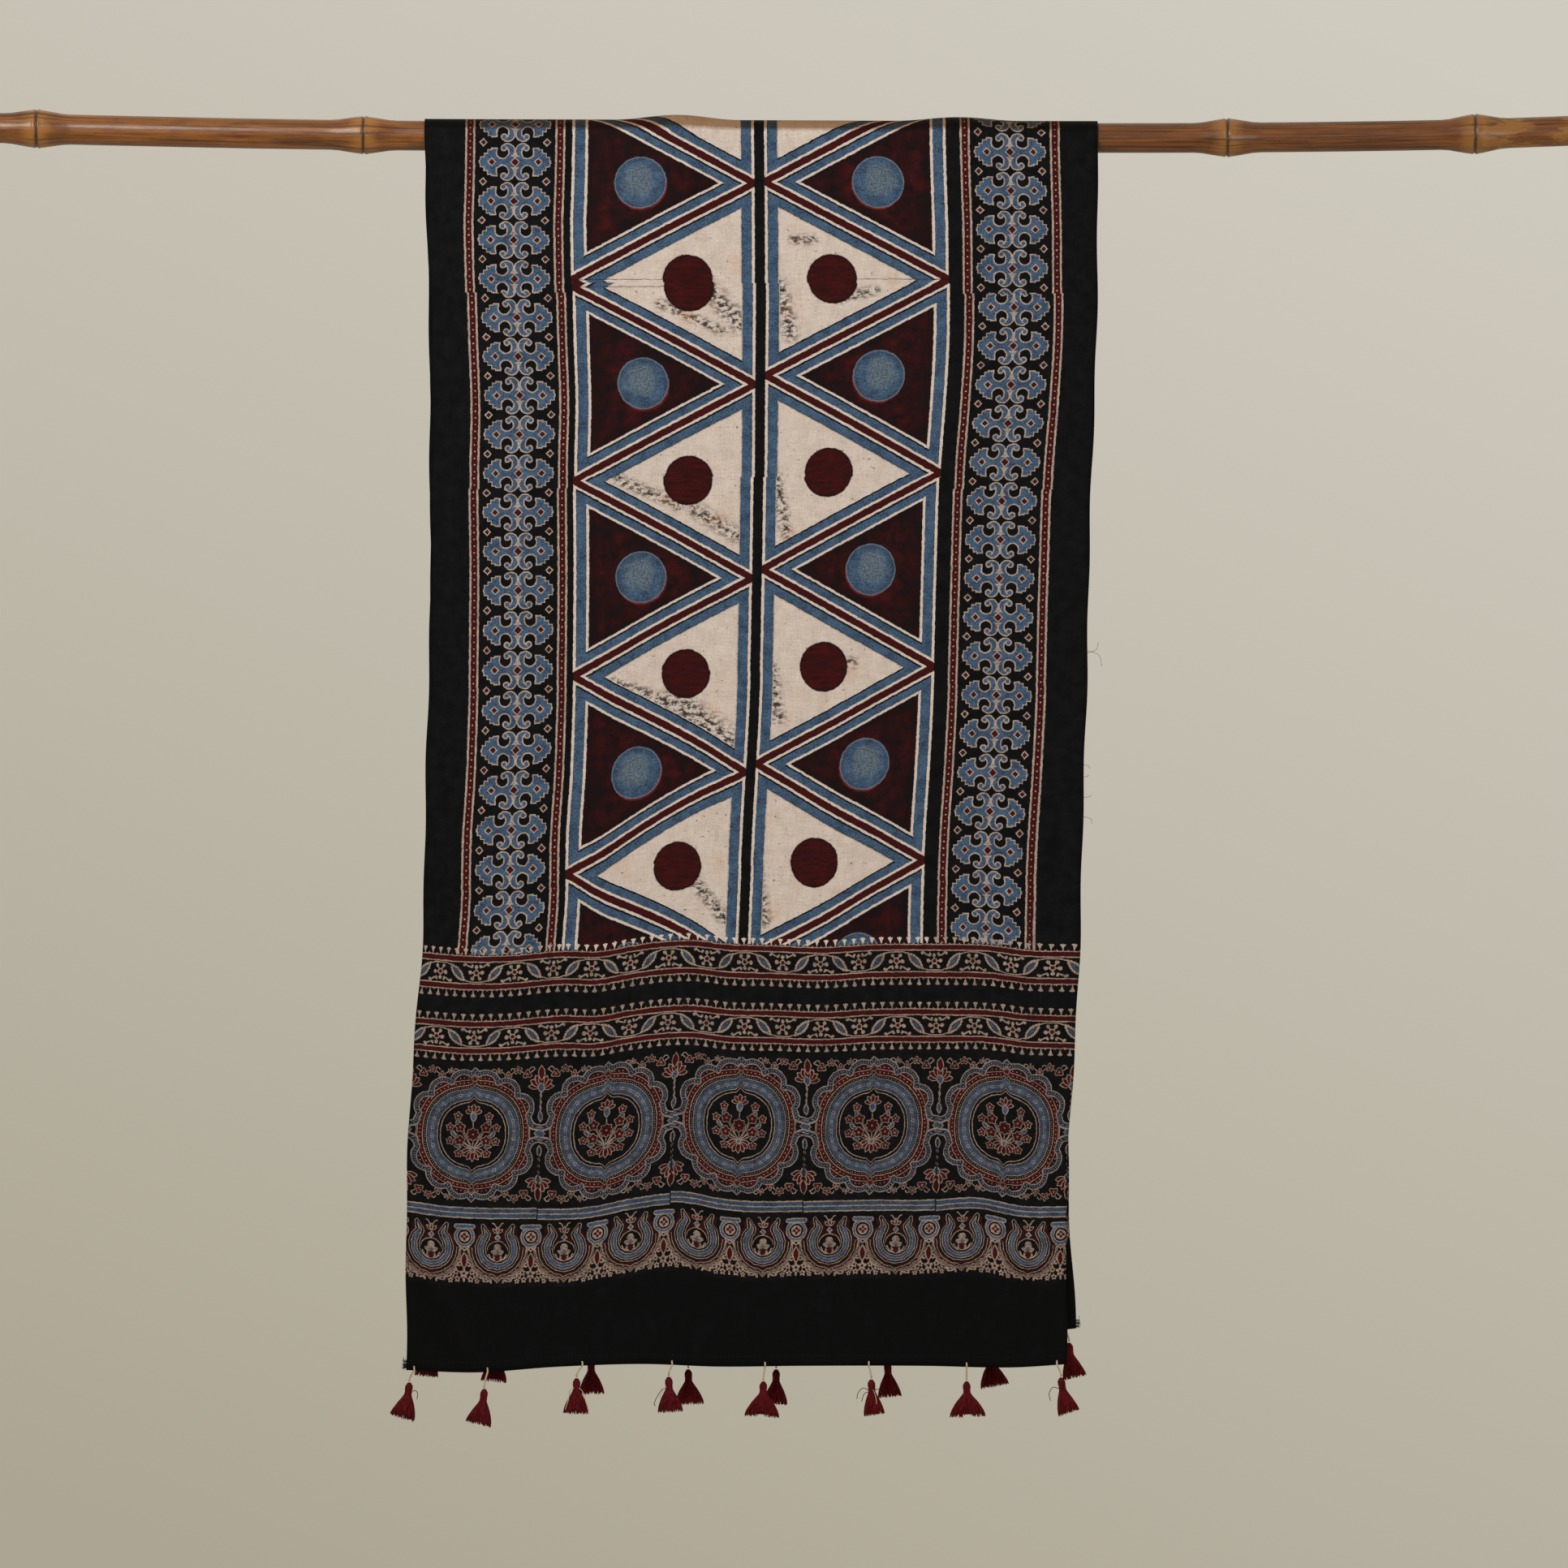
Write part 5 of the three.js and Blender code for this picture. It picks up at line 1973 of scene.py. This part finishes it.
def make_floor():
    """A round pale floor under the hanging cloth."""
    material, tree = new_material("studio_floor")
    set_surface(tree, {"Base Color": FLOOR_COLOUR, "Roughness": 0.9})
    angles = [2 * math.pi * side / FLOOR_SIDES for side in range(FLOOR_SIDES)]
    turns = [(math.cos(angle), math.sin(angle)) for angle in angles]
    ring = [(FLOOR_RADIUS * x, FLOOR_RADIUS * y, FLOOR_HEIGHT) for x, y in turns]
    mesh = bpy.data.meshes.new("studio_floor")
    mesh.from_pydata(ring, [], [tuple(range(FLOOR_SIDES))])
    mesh.materials.append(material)
    floor = add_object("studio_floor", mesh)


def add_light(lamp):
    """A round soft light turned towards its aim."""
    light = bpy.data.lights.new(lamp.name, "AREA")
    light.shape = "DISK"
    light.size = lamp.size
    light.energy = lamp.energy
    lit = add_object(lamp.name, light)
    lit.location = lamp.place
    lit.rotation_euler = (Vector(lamp.aim) - Vector(lamp.place)).to_track_quat("-Z", "Y").to_euler()


CAMERA_PLACE = Vector((0.019, -9.0, -0.5389))
FRAME_HALF_WIDTH = 0.6512
SENSOR_WIDTH = 36
CLOTH_PLANE = -0.022


def make_camera():
    """A level camera square to the cloth, framed as the photograph is."""
    data = bpy.data.cameras.new("camera")
    data.sensor_width = SENSOR_WIDTH
    data.lens = SENSOR_WIDTH / 2 * (CLOTH_PLANE - CAMERA_PLACE.y) / FRAME_HALF_WIDTH
    camera = add_object("camera", data)
    camera.location = CAMERA_PLACE
    camera.rotation_euler = (math.pi / 2, 0, 0)
    bpy.context.scene.camera = camera


def cover(piece, *materials):
    """Gives a piece its materials, in the order of its faces' numbers."""
    for material in materials:
        piece.data.materials.append(material)


make_backdrop()
make_floor()
for lamp in LAMPS:
    add_light(lamp)
make_camera()
cloth = make_cloth()
cover(cloth, *(cloth_material(zone, DRAWINGS[zone]) for zone in ZONES))
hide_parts("cloth")

pole = make_pole()
cover(pole, bark_material(), sawn_material())
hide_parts("pole")

wine_yarn = yarn_material("wine_yarn", *WINE_YARN_LIT_AND_SHADED, 1.2)
stray_yarn = yarn_material("stray_yarn", *STRAY_YARN, 1.0)
pale_thread = yarn_material("pale_thread", *PALE_THREAD, 0.8)
black_thread = yarn_material("black_thread", *BLACK_THREAD, 0.8)

on_cloth = []
HEMS = [
    ("front", FRONT, FRONT_TASSELS, (FRONT_STRAYS, FRONT_PALE_STRAYS)),
    ("back", BACK, BACK_TASSELS, ({}, {})),
]
for hem, panel, tassels, strays in HEMS:
    for number, tassel in enumerate(tassels, 1):
        hole = hem_hole(panel, tassel.across)
        thread = make_thread(f"hem_thread_{hem}_{number}", hole, tassel)
        cover(thread, pale_thread)
        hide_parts(f"thread_{hem}_{number}")
        top = hole + (tassel.shift, 0, -tassel.drop - PIECE_GAP)
        ends = [kind.get(number, []) for kind in strays]
        yarns = make_tassel(f"yarn_tassel_{hem}_{number}", top, tassel, *ends)
        cover(yarns, wine_yarn, stray_yarn, pale_thread)
        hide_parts(f"tassel_{hem}_{number}")
        on_cloth += [thread, yarns]
    stitches = make_stitches(f"hem_stitches_{hem}", panel)
    cover(stitches, black_thread)
    on_cloth.append(stitches)
fibres = make_fibres()
cover(fibres, black_thread)
on_cloth.append(fibres)

bpy.context.scene.view_settings.view_transform = "Standard"
